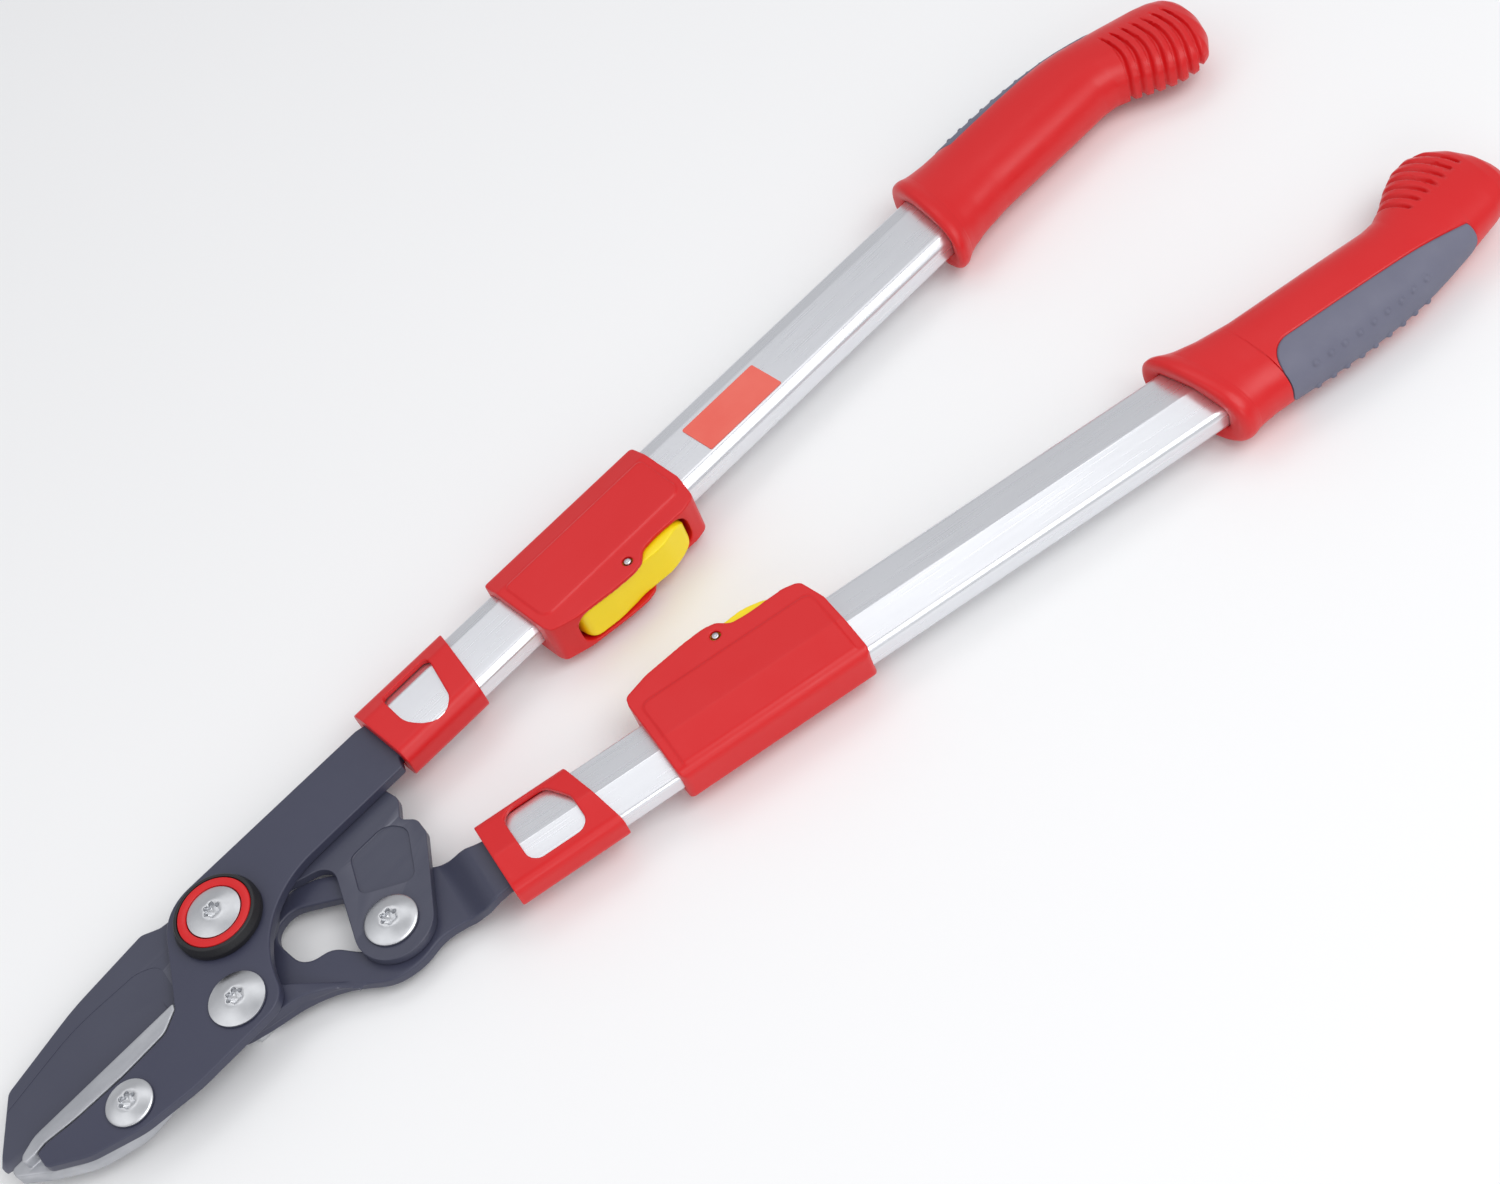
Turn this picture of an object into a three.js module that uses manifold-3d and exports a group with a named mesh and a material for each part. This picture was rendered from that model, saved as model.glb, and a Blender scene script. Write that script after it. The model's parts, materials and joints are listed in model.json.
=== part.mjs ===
// Telescopic anvil loppers with a roller-driven blade, lying flat, jaws closed, handles retracted.
// Millimetres, +Z up. The head is drawn about the main pivot: +X runs along the left handle,
// +Y to that handle's outer side. Each handle is drawn along its own axis and placed by a group.
import * as THREE from 'three';
import { mergeVertices } from 'three/addons/utils/BufferGeometryUtils.js';
import Module from 'manifold-3d';

const wasm = await Module();
wasm.setup();

// ---- driving dimensions ----
const GAP = 0.3;
const CHORD = 0.14;

const PIVOT_LEVER = [-15.3, -32.6];
const PIVOT_ANVIL = [-64.5, -32.5];
const PIVOT_DRIVE = [40.5, -51.4];

const JAW_LOW = -1.3;
const JAW_HIGH = 3.2;
const BLADE_LOW = -5.6;
const BLADE_HIGH = -1.6;
const CAM_LOW = -10.6;
const CAM_HIGH = -5.9;
const TANG_LOW = -2.2;
const TANG_HIGH = 2.4;
const ANVIL_LOW = -8.2;
const STRIKE_Y = -13.0;

const BOLT_RADIUS = 5;
const PIVOT_RADIUS = 6;
const ROLLER_RADIUS = 8.2;
const NUT_HEIGHT = 4.4;

const OPEN_ANGLE = 80;
const BLADE_RATIO = 0.52;

const LEFT_AXIS = [86.3, 8.46];
const RIGHT_AXIS = [79.1, -68.3];
const HANDLE_ANGLE = 13.68;

const TANG_HALF = 11.6;
const COLLAR_LENGTH = 41.5;
const COLLAR_SLANT = 0.21;
const INNER_START = 2.4;
const INNER_END = 380;
const OUTER_START = 98;
const OUTER_END = 396;
const HOUSING_START = 69.5;
const HOUSING_END = 150.4;
const TUBE_WALL = 1.2;
const OUTER_GROW = 1.4;
const LOCK_STATION = 90;
const LOCK_PITCH = 62.5;
const BUTTON_PIVOT = [110, -25];
const SLOT_HALF = 8.2;

const SLATE = 0x4c4d60;
const RED = 0xd92a2c;
const YELLOW = 0xf0dc1e;
const SATIN = 0xdcdde2;
const ZINC = 0xc9cbd0;
const GREY = 0x777989;

// ---- solids ----
function toSolid(geometry) {
  const bare = geometry.index ? geometry.toNonIndexed() : geometry.clone();
  bare.deleteAttribute('normal');
  bare.deleteAttribute('uv');
  const merged = mergeVertices(bare, 1e-5);
  const vertProperties = Float32Array.from(merged.attributes.position.array);
  const triVerts = Uint32Array.from(merged.index.array);
  return new wasm.Manifold(new wasm.Mesh({ numProp: 3, vertProperties, triVerts }));
}

function toGeometry(solid) {
  const mesh = solid.getMesh();
  const geometry = new THREE.BufferGeometry();
  geometry.setAttribute('position', new THREE.BufferAttribute(Float32Array.from(mesh.vertProperties), 3));
  geometry.setIndex(new THREE.BufferAttribute(Uint32Array.from(mesh.triVerts), 1));
  geometry.computeVertexNormals();
  return geometry;
}

// Corner list [x, y, radius] to outline points, each radius a true arc.
function rounded(corners) {
  const points = [];
  corners.forEach(([x, y, radius = 0], i) => {
    const before = corners[(i + corners.length - 1) % corners.length];
    const after = corners[(i + 1) % corners.length];
    const corner = new THREE.Vector2(x, y);
    if (radius === 0) {
      points.push(corner);
      return;
    }
    const a = new THREE.Vector2(before[0] - x, before[1] - y).normalize();
    const b = new THREE.Vector2(after[0] - x, after[1] - y).normalize();
    const half = Math.acos(THREE.MathUtils.clamp(a.dot(b), -1, 1)) / 2;
    const middle = a.clone().add(b).normalize().multiplyScalar(radius / Math.sin(half)).add(corner);
    const start = a.multiplyScalar(radius / Math.tan(half)).add(corner).sub(middle);
    const side = Math.sign(start.x * (y - middle.y) - start.y * (x - middle.x));
    const turn = Math.PI - 2 * half;
    const steps = Math.max(1, Math.ceil(turn / (2 * Math.acos(1 - CHORD / radius))));
    for (let k = 0; k <= steps; k += 1) {
      const point = start.clone().rotateAround(new THREE.Vector2(), side * turn * k / steps);
      points.push(point.add(middle));
    }
  });
  return points.filter((point, i) => point.distanceTo(points[(i + 1) % points.length]) > 0.02);
}

function circlePoints(x, y, radius, count) {
  const points = [];
  for (let k = 0; k < count; k += 1) {
    const angle = 2 * Math.PI * k / count;
    points.push(new THREE.Vector2(x + radius * Math.cos(angle), y + radius * Math.sin(angle)));
  }
  return points;
}

// Moves every edge of a counter-clockwise outline outwards by one distance.
function grown(points, distance) {
  return points.map((point, i) => {
    const before = points[(i + points.length - 1) % points.length];
    const after = points[(i + 1) % points.length];
    const a = point.clone().sub(before).normalize();
    const b = after.clone().sub(point).normalize();
    const normal = new THREE.Vector2(a.y + b.y, -a.x - b.x).normalize();
    return normal.multiplyScalar(distance / (normal.x * a.y - normal.y * a.x)).add(point);
  });
}

// Flat piece standing on z = low, with its edges broken by bevel.
function plate(points, low, high, bevel = 0) {
  const geometry = new THREE.ExtrudeGeometry(new THREE.Shape(points), {
    depth: high - low - 2 * bevel,
    bevelEnabled: bevel > 0,
    bevelThickness: bevel,
    bevelSize: bevel,
    bevelOffset: -bevel,
    bevelSegments: 1,
  });
  geometry.translate(0, 0, low + bevel);
  return toSolid(geometry);
}

// Outline drawn in the handle's cross plane (v, z), run along the handle from start to end.
function along(points, start, end) {
  const geometry = new THREE.ExtrudeGeometry(new THREE.Shape(points), {
    depth: end - start,
    bevelEnabled: false,
  });
  const swap = new THREE.Matrix4().set(0, 0, 1, start, 1, 0, 0, 0, 0, 1, 0, 0, 0, 0, 0, 1);
  geometry.applyMatrix4(swap);
  return toSolid(geometry);
}

// Outline drawn in the (x, z) plane, run across from y = low to y = high.
function across(points, low, high) {
  const geometry = new THREE.ExtrudeGeometry(new THREE.Shape(points), {
    depth: high - low,
    bevelEnabled: false,
  });
  geometry.rotateX(Math.PI / 2);
  geometry.translate(0, high, 0);
  return toSolid(geometry);
}

// Round post about a vertical axis through (x, y).
function post(x, y, radius, low, high, count = 24) {
  return plate(circlePoints(x, y, radius, count), low, high);
}

// Turned piece about a vertical axis: profile [radius, z] from the axis back to the axis.
function turned(profile, x, y, count = 24) {
  const points = profile.map(([radius, z]) => new THREE.Vector2(radius, z));
  const geometry = new THREE.LatheGeometry(points, count);
  geometry.rotateX(Math.PI / 2);
  geometry.translate(x, y, 0);
  return toSolid(geometry);
}

// Closed skin through equal rings of points, capped by a fan at each end.
function lofted(rings) {
  const count = rings[0].length;
  const positions = rings.flat().flatMap((point) => [point.x, point.y, point.z]);
  const index = [];
  for (let i = 0; i + 1 < rings.length; i += 1) {
    for (let k = 0; k < count; k += 1) {
      const a = i * count + k;
      const b = i * count + (k + 1) % count;
      index.push(a, b, a + count, b, b + count, a + count);
    }
  }
  const last = (rings.length - 1) * count;
  for (let k = 1; k + 1 < count; k += 1) {
    index.push(0, k + 1, k);
    index.push(last, last + k, last + k + 1);
  }
  const geometry = new THREE.BufferGeometry();
  geometry.setAttribute('position', new THREE.Float32BufferAttribute(positions, 3));
  geometry.setIndex(index);
  return toSolid(geometry);
}

function turnPoint([x, y], [cx, cy], degrees) {
  return new THREE.Vector2(x, y).rotateAround(new THREE.Vector2(cx, cy), THREE.MathUtils.degToRad(degrees));
}

const root = new THREE.Group();

function add(parent, name, solid, color, metalness, roughness) {
  const material = new THREE.MeshStandardMaterial({ color, metalness, roughness });
  const mesh = new THREE.Mesh(toGeometry(solid), material);
  mesh.name = name;
  parent.add(mesh);
}

// ---- jaw lever: the upper plate, jaw at one end, tang for the left handle at the other ----
const leftTangLow = LEFT_AXIS[1] - TANG_HALF;
const leftTangHigh = LEFT_AXIS[1] + TANG_HALF;
const jawOutline = rounded([
  [116, leftTangLow, 3],
  [116, leftTangHigh, 3],
  [86, leftTangHigh],
  [82.5, 20.9, 2],
  [-12.1, 21.1, 20],
  [-33.1, -15.9, 2],
  [-42, -20.5, 9],
  [-62, -21.1, 60],
  [-98.2, -20.4, 1.5],
  [-98.6, -27.4, 3],
  [-88, -35.8, 20],
  [-69, -43.4, 30],
  [-46, -45.8, 60],
  [-4.1, -45.8, 10],
  [9.3, -7.3, 42],
  [84, -7.3, 1],
  [86, leftTangLow],
]);
const tangPins = [[LEFT_AXIS[0] + 6.5, LEFT_AXIS[1] - 6], [LEFT_AXIS[0] + 6.5, LEFT_AXIS[1] + 6]];
let jawLever = plate(jawOutline, JAW_LOW, JAW_HIGH, 0.8);
jawLever = jawLever.subtract(post(0, 0, PIVOT_RADIUS + GAP, -3, 6));
for (const [x, y] of [PIVOT_LEVER, PIVOT_ANVIL]) {
  jawLever = jawLever.subtract(post(x, y, BOLT_RADIUS + GAP, -3, 6));
}
for (const [x, y] of tangPins) {
  jawLever = jawLever.subtract(post(x, y, 2.8, -3, 6, 16));
}
add(root, 'jaw_lever', jawLever, SLATE, 0.35, 0.5);

// ---- anvil: light-metal pad under the jaw, with a lip that rises along the jaw's edge ----
const anvilBase = plate(rounded([
  [-33, STRIKE_Y, 1],
  [-33, -29, 4],
  [-58, -38.6, 8],
  [-72, -38.2, 20],
  [-88, -31, 30],
  [-101, -22, 10],
  [-108.6, -16.5, 2],
  [-107.4, STRIKE_Y, 2],
]), ANVIL_LOW, JAW_LOW - GAP, 0.6);
const anvilLip = plate(rounded([
  [-32.6, STRIKE_Y, 0.5],
  [-33.6, -15.4, 0.5],
  [-42.2, -20.0, 9],
  [-62, -20.6, 60],
  [-97.9, -19.9, 1],
  [-103.4, -18.6, 1],
  [-103.8, -15.2, 1.6],
  [-96.5, STRIKE_Y, 3],
]), ANVIL_LOW + 1, JAW_HIGH, 0.5);
let anvil = anvilBase.add(anvilLip);
anvil = anvil.subtract(post(...PIVOT_ANVIL, BOLT_RADIUS + GAP, -12, 6));
add(root, 'anvil', anvil, 0xb4b6bd, 0.6, 0.45);

// ---- blade: cutting blade, hub and drive arm in one plate ----
const bladeBlank = plate(rounded([
  [-110.1, -9, 1],
  [-92.8, 13.1, 4],
  [-58, 21.1, 90],
  [-23.5, 24.3, 4],
  [-17, 20.6, 4],
  [0, 18],
  [0, -17],
  [-26, STRIKE_Y + GAP, 4],
  [-106, STRIKE_Y + GAP, 1],
  [-110.1, -11.4, 1],
]), BLADE_LOW, BLADE_HIGH, 0.3);
const driveArm = plate(rounded([
  [0, 18],
  [45, 13, 20],
  [73.6, -3.5, 4],
  [74.8, -13, 5],
  [69.4, -20.6, 2.5],
  [73.4, -26, 4],
  [72.3, -33, 4],
  [48.7, -67, 15],
  [17.6, -67, 15],
  [41.5, -13.4, 7],
  [20, -4.8, 8],
  [12, -12, 3],
  [0, -15],
]), BLADE_LOW, BLADE_HIGH, 0.5);
const armPocket = plate(rounded([
  [47, -17.6, 3],
  [64.5, -17.6, 6],
  [68.8, -26, 4],
  [57, -45.4, 3],
  [40, -33, 3],
]), BLADE_HIGH - 0.9, 0);
let blade = bladeBlank.add(post(0, 0, 19.5, BLADE_LOW, BLADE_HIGH, 48)).add(driveArm);
for (const [face, sign] of [[BLADE_HIGH, 1], [BLADE_LOW, -1]]) {
  const wedge = new THREE.Shape([
    new THREE.Vector2(STRIKE_Y - 1, face + sign),
    new THREE.Vector2(STRIKE_Y - 1, face - sign * 1.75),
    new THREE.Vector2(STRIKE_Y + GAP, face - sign * 1.75),
    new THREE.Vector2(STRIKE_Y + 9, face),
    new THREE.Vector2(STRIKE_Y + 9, face + sign),
  ]);
  const geometry = new THREE.ExtrudeGeometry(wedge, { depth: 79, bevelEnabled: false });
  geometry.applyMatrix4(new THREE.Matrix4().set(0, 0, 1, -113, 1, 0, 0, 0, 0, 1, 0, 0, 0, 0, 0, 1));
  blade = blade.subtract(toSolid(geometry));
}
blade = blade.subtract(armPocket);
blade = blade.subtract(post(0, 0, PIVOT_RADIUS + 2.6, -8, 2));
blade = blade.subtract(post(...PIVOT_DRIVE, BOLT_RADIUS + GAP, -8, 2));
add(root, 'blade', blade, SLATE, 0.35, 0.48);
add(
  root,
  'blade_bushing',
  post(0, 0, PIVOT_RADIUS + 2.5, BLADE_LOW, BLADE_HIGH)
    .subtract(post(0, 0, PIVOT_RADIUS + 0.1, -8, 2)),
  0xb08a4a,
  0.9,
  0.4,
);

// ---- cam lever: the lower plate, its window driven past the blade's roller ----
// Roller centres as the cam lever sees them while both levers turn.
const windowPath = [];
for (let angle = -3; angle <= OPEN_ANGLE + 5; angle += (OPEN_ANGLE + 8) / 11) {
  const roller = turnPoint(PIVOT_DRIVE, [0, 0], -angle * BLADE_RATIO);
  windowPath.push(turnPoint([roller.x, roller.y], PIVOT_LEVER, angle));
}
const windowReach = ROLLER_RADIUS + 0.45;

function ribbon(centres, reach, endSteps) {
  const left = [];
  const right = [];
  centres.forEach((centre, i) => {
    const next = centres[Math.min(i + 1, centres.length - 1)];
    const last = centres[Math.max(i - 1, 0)];
    const direction = next.clone().sub(last).normalize();
    const normal = new THREE.Vector2(-direction.y, direction.x).multiplyScalar(reach);
    if (i === 0) {
      for (let k = 1; k < endSteps; k += 1) {
        const turn = Math.PI * (1 - k / endSteps);
        left.push(normal.clone().rotateAround(new THREE.Vector2(), turn).add(centre));
      }
    }
    left.push(centre.clone().add(normal));
    right.push(centre.clone().sub(normal));
    if (i === centres.length - 1) {
      for (let k = 1; k < endSteps; k += 1) {
        const turn = -Math.PI * k / endSteps;
        left.push(normal.clone().rotateAround(new THREE.Vector2(), turn).add(centre));
      }
    }
  });
  return left.concat(right.reverse()).reverse();
}

const windowRelief = rounded([
  [8, -13.6, 8],
  [20.5, -12.9, 8],
  [36, -25.5, 6],
  [36, -50, 5],
  [27, -50, 5],
  [20, -37.6, 8],
  [8.6, -35.4, 8],
]);
const handleCos = Math.cos(THREE.MathUtils.degToRad(HANDLE_ANGLE));
const handleSin = Math.sin(THREE.MathUtils.degToRad(HANDLE_ANGLE));

// Point on the right handle's axis frame: u along the handle, p towards the tool's middle.
function onRight(u, p, radius = 0) {
  const x = RIGHT_AXIS[0] + u * handleCos + p * handleSin;
  const y = RIGHT_AXIS[1] - u * handleSin + p * handleCos;
  return [x, y, radius];
}

const camOutline = rounded([
  [-27, -24, 10],
  [-14, -20, 8],
  [-2, -23, 8],
  [6.4, -9.6, 8],
  [18, -4.6, 12],
  [31, -7.2, 14],
  [45, -19, 20],
  [50.5, -34.5, 12],
  onRight(-19, 22, 3),
  onRight(-8, 14.4, 4),
  onRight(-1, TANG_HALF),
  onRight(29.7, TANG_HALF, 3),
  onRight(29.7, -TANG_HALF, 3),
  onRight(-1, -TANG_HALF),
  onRight(-7, -13.4, 4),
  [56.4, -70.4, 8],
  [48, -68, 14],
  [37, -69.6, 12],
  [25, -66.8, 14],
  [12, -52.4, 20],
  [0, -46.3, 20],
  [-14, -43.2, 20],
  [-27, -38.6, 8],
]);
const joggleProfile = [
  [-150, CAM_LOW],
  [-16, CAM_LOW],
  [-7.5, TANG_LOW],
  [32, TANG_LOW],
  [32, TANG_HIGH],
  [-9.5, TANG_HIGH],
  [-18, CAM_HIGH],
  [-150, CAM_HIGH],
].map(([u, z]) => new THREE.Vector2(u, z));
const joggleGeometry = new THREE.ExtrudeGeometry(new THREE.Shape(joggleProfile), {
  depth: 200,
  bevelEnabled: false,
});
joggleGeometry.rotateX(Math.PI / 2);
joggleGeometry.translate(0, 100, 0);
joggleGeometry.rotateZ(-THREE.MathUtils.degToRad(HANDLE_ANGLE));
joggleGeometry.translate(...RIGHT_AXIS, 0);
const camHub = plate(rounded([
  [-27.6, -24, 10],
  [-14, -20, 8],
  [-3, -26, 8],
  [-2.6, -38, 3],
  [6.5, -49.4, 2],
  [-14, -43.4, 20],
  [-27.2, -38.8, 8],
]), CAM_HIGH - 1, JAW_LOW - GAP, 0.5);
let camLever = toSolid(joggleGeometry).intersect(plate(camOutline, -14, 6)).add(camHub);
camLever = camLever.subtract(plate(windowRelief, -14, 0));
for (let i = 0; i + 1 < windowPath.length; i += 1) {
  const step = ribbon([windowPath[i], windowPath[i + 1]], windowReach, 10);
  camLever = camLever.subtract(plate(step, -14, 0));
}
camLever = camLever.subtract(post(...PIVOT_LEVER, BOLT_RADIUS + 2.6, -14, 2));
for (const p of [-6, 6]) {
  const [x, y] = onRight(6.5, p);
  camLever = camLever.subtract(post(x, y, 2.8, -8, 6, 16));
}
add(root, 'cam_lever', camLever, SLATE, 0.35, 0.5);
add(
  root,
  'lever_bushing',
  post(...PIVOT_LEVER, BOLT_RADIUS + 2.5, CAM_LOW, JAW_LOW - GAP)
    .subtract(post(...PIVOT_LEVER, BOLT_RADIUS + 0.1, -14, 2)),
  0xb08a4a,
  0.9,
  0.4,
);

// ---- bolts and nuts ----
// Six-lobed driver socket cut into a bolt head.
function socket(x, y, top) {
  const points = [];
  for (let k = 0; k < 24; k += 1) {
    const angle = 2 * Math.PI * k / 24;
    const radius = 3.5 + 0.55 * Math.cos(6 * angle);
    points.push(new THREE.Vector2(x + radius * Math.cos(angle), y + radius * Math.sin(angle)));
  }
  return plate(points, top - 2.4, top + 2);
}

function bolt([x, y], headRadius, seat, rise, shankRadius, foot) {
  const head = turned([
    [0, foot],
    [shankRadius, foot],
    [shankRadius, seat],
    [headRadius, seat],
    [headRadius, seat + 0.9],
    [headRadius * 0.86, seat + rise * 0.62],
    [headRadius * 0.62, seat + rise * 0.9],
    [headRadius * 0.36, seat + rise],
    [0, seat + rise],
  ], x, y);
  return head.subtract(socket(x, y, seat + rise));
}

function nut([x, y], flats, top, bore) {
  const body = post(x, y, flats / Math.sqrt(3), top - NUT_HEIGHT, top, 6);
  const flange = turned([
    [0, top - 1.5],
    [flats * 0.6, top - 1.2],
    [flats * 0.68, top - 0.6],
    [flats * 0.68, top],
    [0, top],
  ], x, y, 18);
  return body.add(flange).subtract(post(x, y, bore, top - 9, top + 2, 16));
}

add(
  root,
  'pivot_bolt',
  bolt([0, 0], 10.4, 6.9, 3, PIVOT_RADIUS, BLADE_LOW - NUT_HEIGHT - 0.3),
  ZINC,
  0.9,
  0.3,
);
add(root, 'pivot_nut', nut([0, 0], 15, BLADE_LOW - GAP, PIVOT_RADIUS + GAP), ZINC, 0.9, 0.35);
add(
  root,
  'lever_bolt',
  bolt(PIVOT_LEVER, 10.8, JAW_HIGH + GAP, 3.2, BOLT_RADIUS, CAM_LOW - NUT_HEIGHT - 0.3),
  ZINC,
  0.9,
  0.3,
);
add(root, 'lever_nut', nut(PIVOT_LEVER, 13.5, CAM_LOW - GAP, BOLT_RADIUS + GAP), ZINC, 0.9, 0.35);
add(
  root,
  'anvil_bolt',
  bolt(PIVOT_ANVIL, 8.9, JAW_HIGH + GAP, 2.8, BOLT_RADIUS, ANVIL_LOW),
  ZINC,
  0.9,
  0.3,
);
add(
  root,
  'drive_bolt',
  bolt(PIVOT_DRIVE, 10.2, BLADE_HIGH + GAP, 3.2, BOLT_RADIUS, CAM_LOW - NUT_HEIGHT - 0.3),
  ZINC,
  0.9,
  0.3,
);
add(
  root,
  'drive_roller',
  post(...PIVOT_DRIVE, ROLLER_RADIUS, CAM_LOW, CAM_HIGH)
    .subtract(post(...PIVOT_DRIVE, BOLT_RADIUS + 0.1, -14, 2)),
  ZINC,
  0.9,
  0.3,
);
add(root, 'drive_nut', nut(PIVOT_DRIVE, 13.5, CAM_LOW - GAP, BOLT_RADIUS + GAP), ZINC, 0.9, 0.35);

// ---- pivot cover: black conical cap with the red ring let into its top ----
const coverLow = JAW_HIGH + GAP;
const coverHigh = 8.9;
add(
  root,
  'pivot_cover',
  turned([
    [PIVOT_RADIUS + GAP, coverLow],
    [16.9, coverLow],
    [16.9, coverLow + 2.2],
    [14.8, coverHigh],
    [14.4, coverHigh],
    [14.4, 6.6],
    [PIVOT_RADIUS + GAP, 6.6],
    [PIVOT_RADIUS + GAP, coverLow],
  ], 0, 0, 32),
  0x17171b,
  0,
  0.5,
);
add(
  root,
  'pivot_ring',
  turned([
    [10.8, 6.9],
    [14.1, 6.9],
    [14.1, coverHigh],
    [13.7, coverHigh + 0.4],
    [11.3, coverHigh + 0.4],
    [10.8, coverHigh],
    [10.8, 6.9],
  ], 0, 0, 32),
  RED,
  0,
  0.35,
);

// ---- handles ----
// Inner tube outside: a flat face with a slope along its outer side, and a low roof underneath.
const tubeSection = rounded([
  [14.9, -3.4, 1.6],
  [14.9, 3.4, 1.6],
  [8, 5.7, 3],
  [-12.6, 5.7, 2],
  [-14.9, 3.4, 1.6],
  [-14.9, -3.4, 1.6],
  [1.2, -5.4, 2],
]);

function hollowTube(section, start, end, wall) {
  return along(section, start, end).subtract(along(grown(section, -wall), start - 1, end + 1));
}

// Half space beyond a plane slanted across the handle: u > station + slant * v.
function beyond(station, slant) {
  const points = [
    new THREE.Vector2(station - 60 * slant, -60),
    new THREE.Vector2(station + 200, -60),
    new THREE.Vector2(station + 200, 60),
    new THREE.Vector2(station + 60 * slant, 60),
  ];
  return plate(points, -60, 60);
}

// Grip stations: [u, inner edge v, outer edge v, half thickness].
const gripStations = [
  [304.5, -18.8, 20.6, 10.6],
  [307, -22, 23.6, 12.6],
  [311, -24.6, 26.2, 14.3],
  [316, -22.4, 25.4, 14],
  [324, -19, 23.6, 13],
  [336, -17.6, 23.2, 12.7],
  [352, -17.8, 23.4, 12.8],
  [370, -18, 23, 12.9],
  [386, -18, 21.6, 12.9],
  [398, -17.9, 19.8, 12.8],
  [405, -19.2, 18.4, 12.6],
  [412, -23.4, 16.8, 12.3],
  [420, -30, 14.8, 11.9],
  [428, -35, 12.6, 11.5],
  [436, -37, 10.2, 10.9],
  [443, -35.6, 8, 10.2],
  [449, -30.5, 5.4, 9.2],
  [453.5, -23, 2.2, 7.6],
  [456.3, -14.5, -2, 5.2],
  [457.3, -10.5, -5, 2.6],
];
const GRIP_SIDES = 18;
const GRIP_SLANT = 0.22;

function gripSolid(growth) {
  const rings = gripStations.map(([u, inner, outer, half]) => {
    const middle = (inner + outer) / 2;
    const reach = (outer - inner) / 2 + growth;
    const slant = GRIP_SLANT * THREE.MathUtils.clamp((345 - u) / 29, 0, 1);
    const ring = [];
    for (let k = 0; k < GRIP_SIDES; k += 1) {
      const angle = 2 * Math.PI * k / GRIP_SIDES;
      const c = Math.cos(angle);
      const s = Math.sin(angle);
      const v = middle + reach * Math.sign(c) * Math.abs(c) ** 0.84;
      const z = (half + growth) * Math.sign(s) * Math.abs(s) ** 0.84;
      ring.push(new THREE.Vector3(u + slant * v, v, z));
    }
    return ring;
  });
  return lofted(rings);
}

// Finger grooves: seven curved slits cut a little way into the hook's inner side.
const GROOVES = 7;
const GROOVE_DEPTH = 1.2;

function grooveSlabs() {
  let slabs = null;
  for (let i = 0; i < GROOVES; i += 1) {
    const curve = new THREE.QuadraticBezierCurve(
      new THREE.Vector2(418.5 + 4.7 * i, 1 - 1.6 * i),
      new THREE.Vector2(418 + 4.9 * i, -15 - 1.8 * i),
      new THREE.Vector2(405 + 4.6 * i, -27 - 2.5 * i),
    );
    const slab = plate(ribbon(curve.getPoints(3), 0.75, 2), -20, 20);
    slabs = slabs ? slabs.add(slab) : slab;
  }
  return slabs;
}

// Soft insert: on the roof side from v = 9 outwards and round the handle's outer edge.
const padPlan = rounded([
  [326, 32],
  [341, 8.6, 6],
  [390, 8.6, 60],
  [429, 4.6, 4],
  [429, 32],
]);
const padSection = [
  new THREE.Vector2(0, -30),
  new THREE.Vector2(40, -30),
  new THREE.Vector2(40, 8.5),
  new THREE.Vector2(17.6, 8.5),
];

const housingSection = rounded([
  [-33, -9.6],
  [-17, -9.8, 3],
  [1.2, -10.2, 3],
  [18.2, -7.8, 2],
  [18.2, 7.2, 2],
  [7.4, 10.8, 2],
  [-17.8, 10.8, 0.4],
  [-18.6, 10, 0.4],
  [-33, 10],
]);
const housingPlan = rounded([
  [HOUSING_START, 18.2, 3],
  [HOUSING_START, -20],
  [70.5, -24, 3],
  [81, -27.6, 12],
  [99, -30.3, 30],
  [108, -31, 5],
  [113, -30, 4],
  [117.5, -25.8, 5],
  [125, -25.3, 8],
  [140, -26, 8],
  [146.5, -24.4, 4],
  [HOUSING_END - 0.5, -12, 8],
  [HOUSING_END, 18.2, 3],
]);
const buttonPlan = rounded([
  [81, -19.8, 2],
  [108, -19.8, 20],
  [137.5, -22.8, 2],
  [137.5, -26.4, 1.6],
  [124, -30, 14],
  [110, -28.6, 10],
  [97, -29.2, 20],
  [83.5, -27.2, 4],
]);
const buttonFace = rounded([
  [80.6, -7.9, 7],
  [138, -7.9, 7],
  [138, 7.9, 7],
  [80.6, 7.9, 7],
]);

// Coil lying along v: a wire swept round a helix.
function coil(u, start, radius, pitch, turns, wire) {
  const points = [];
  for (let k = 0; k <= turns * 8; k += 1) {
    const angle = 2 * Math.PI * k / 8;
    const v = start - pitch * k / 8;
    points.push(new THREE.Vector3(u + radius * Math.cos(angle), v, radius * Math.sin(angle)));
  }
  const path = new THREE.CatmullRomCurve3(points);
  const geometry = new THREE.ExtrudeGeometry(new THREE.Shape(circlePoints(0, 0, wire, 6)), {
    steps: turns * 10,
    bevelEnabled: false,
    extrudePath: path,
  });
  return toSolid(geometry);
}

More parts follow.
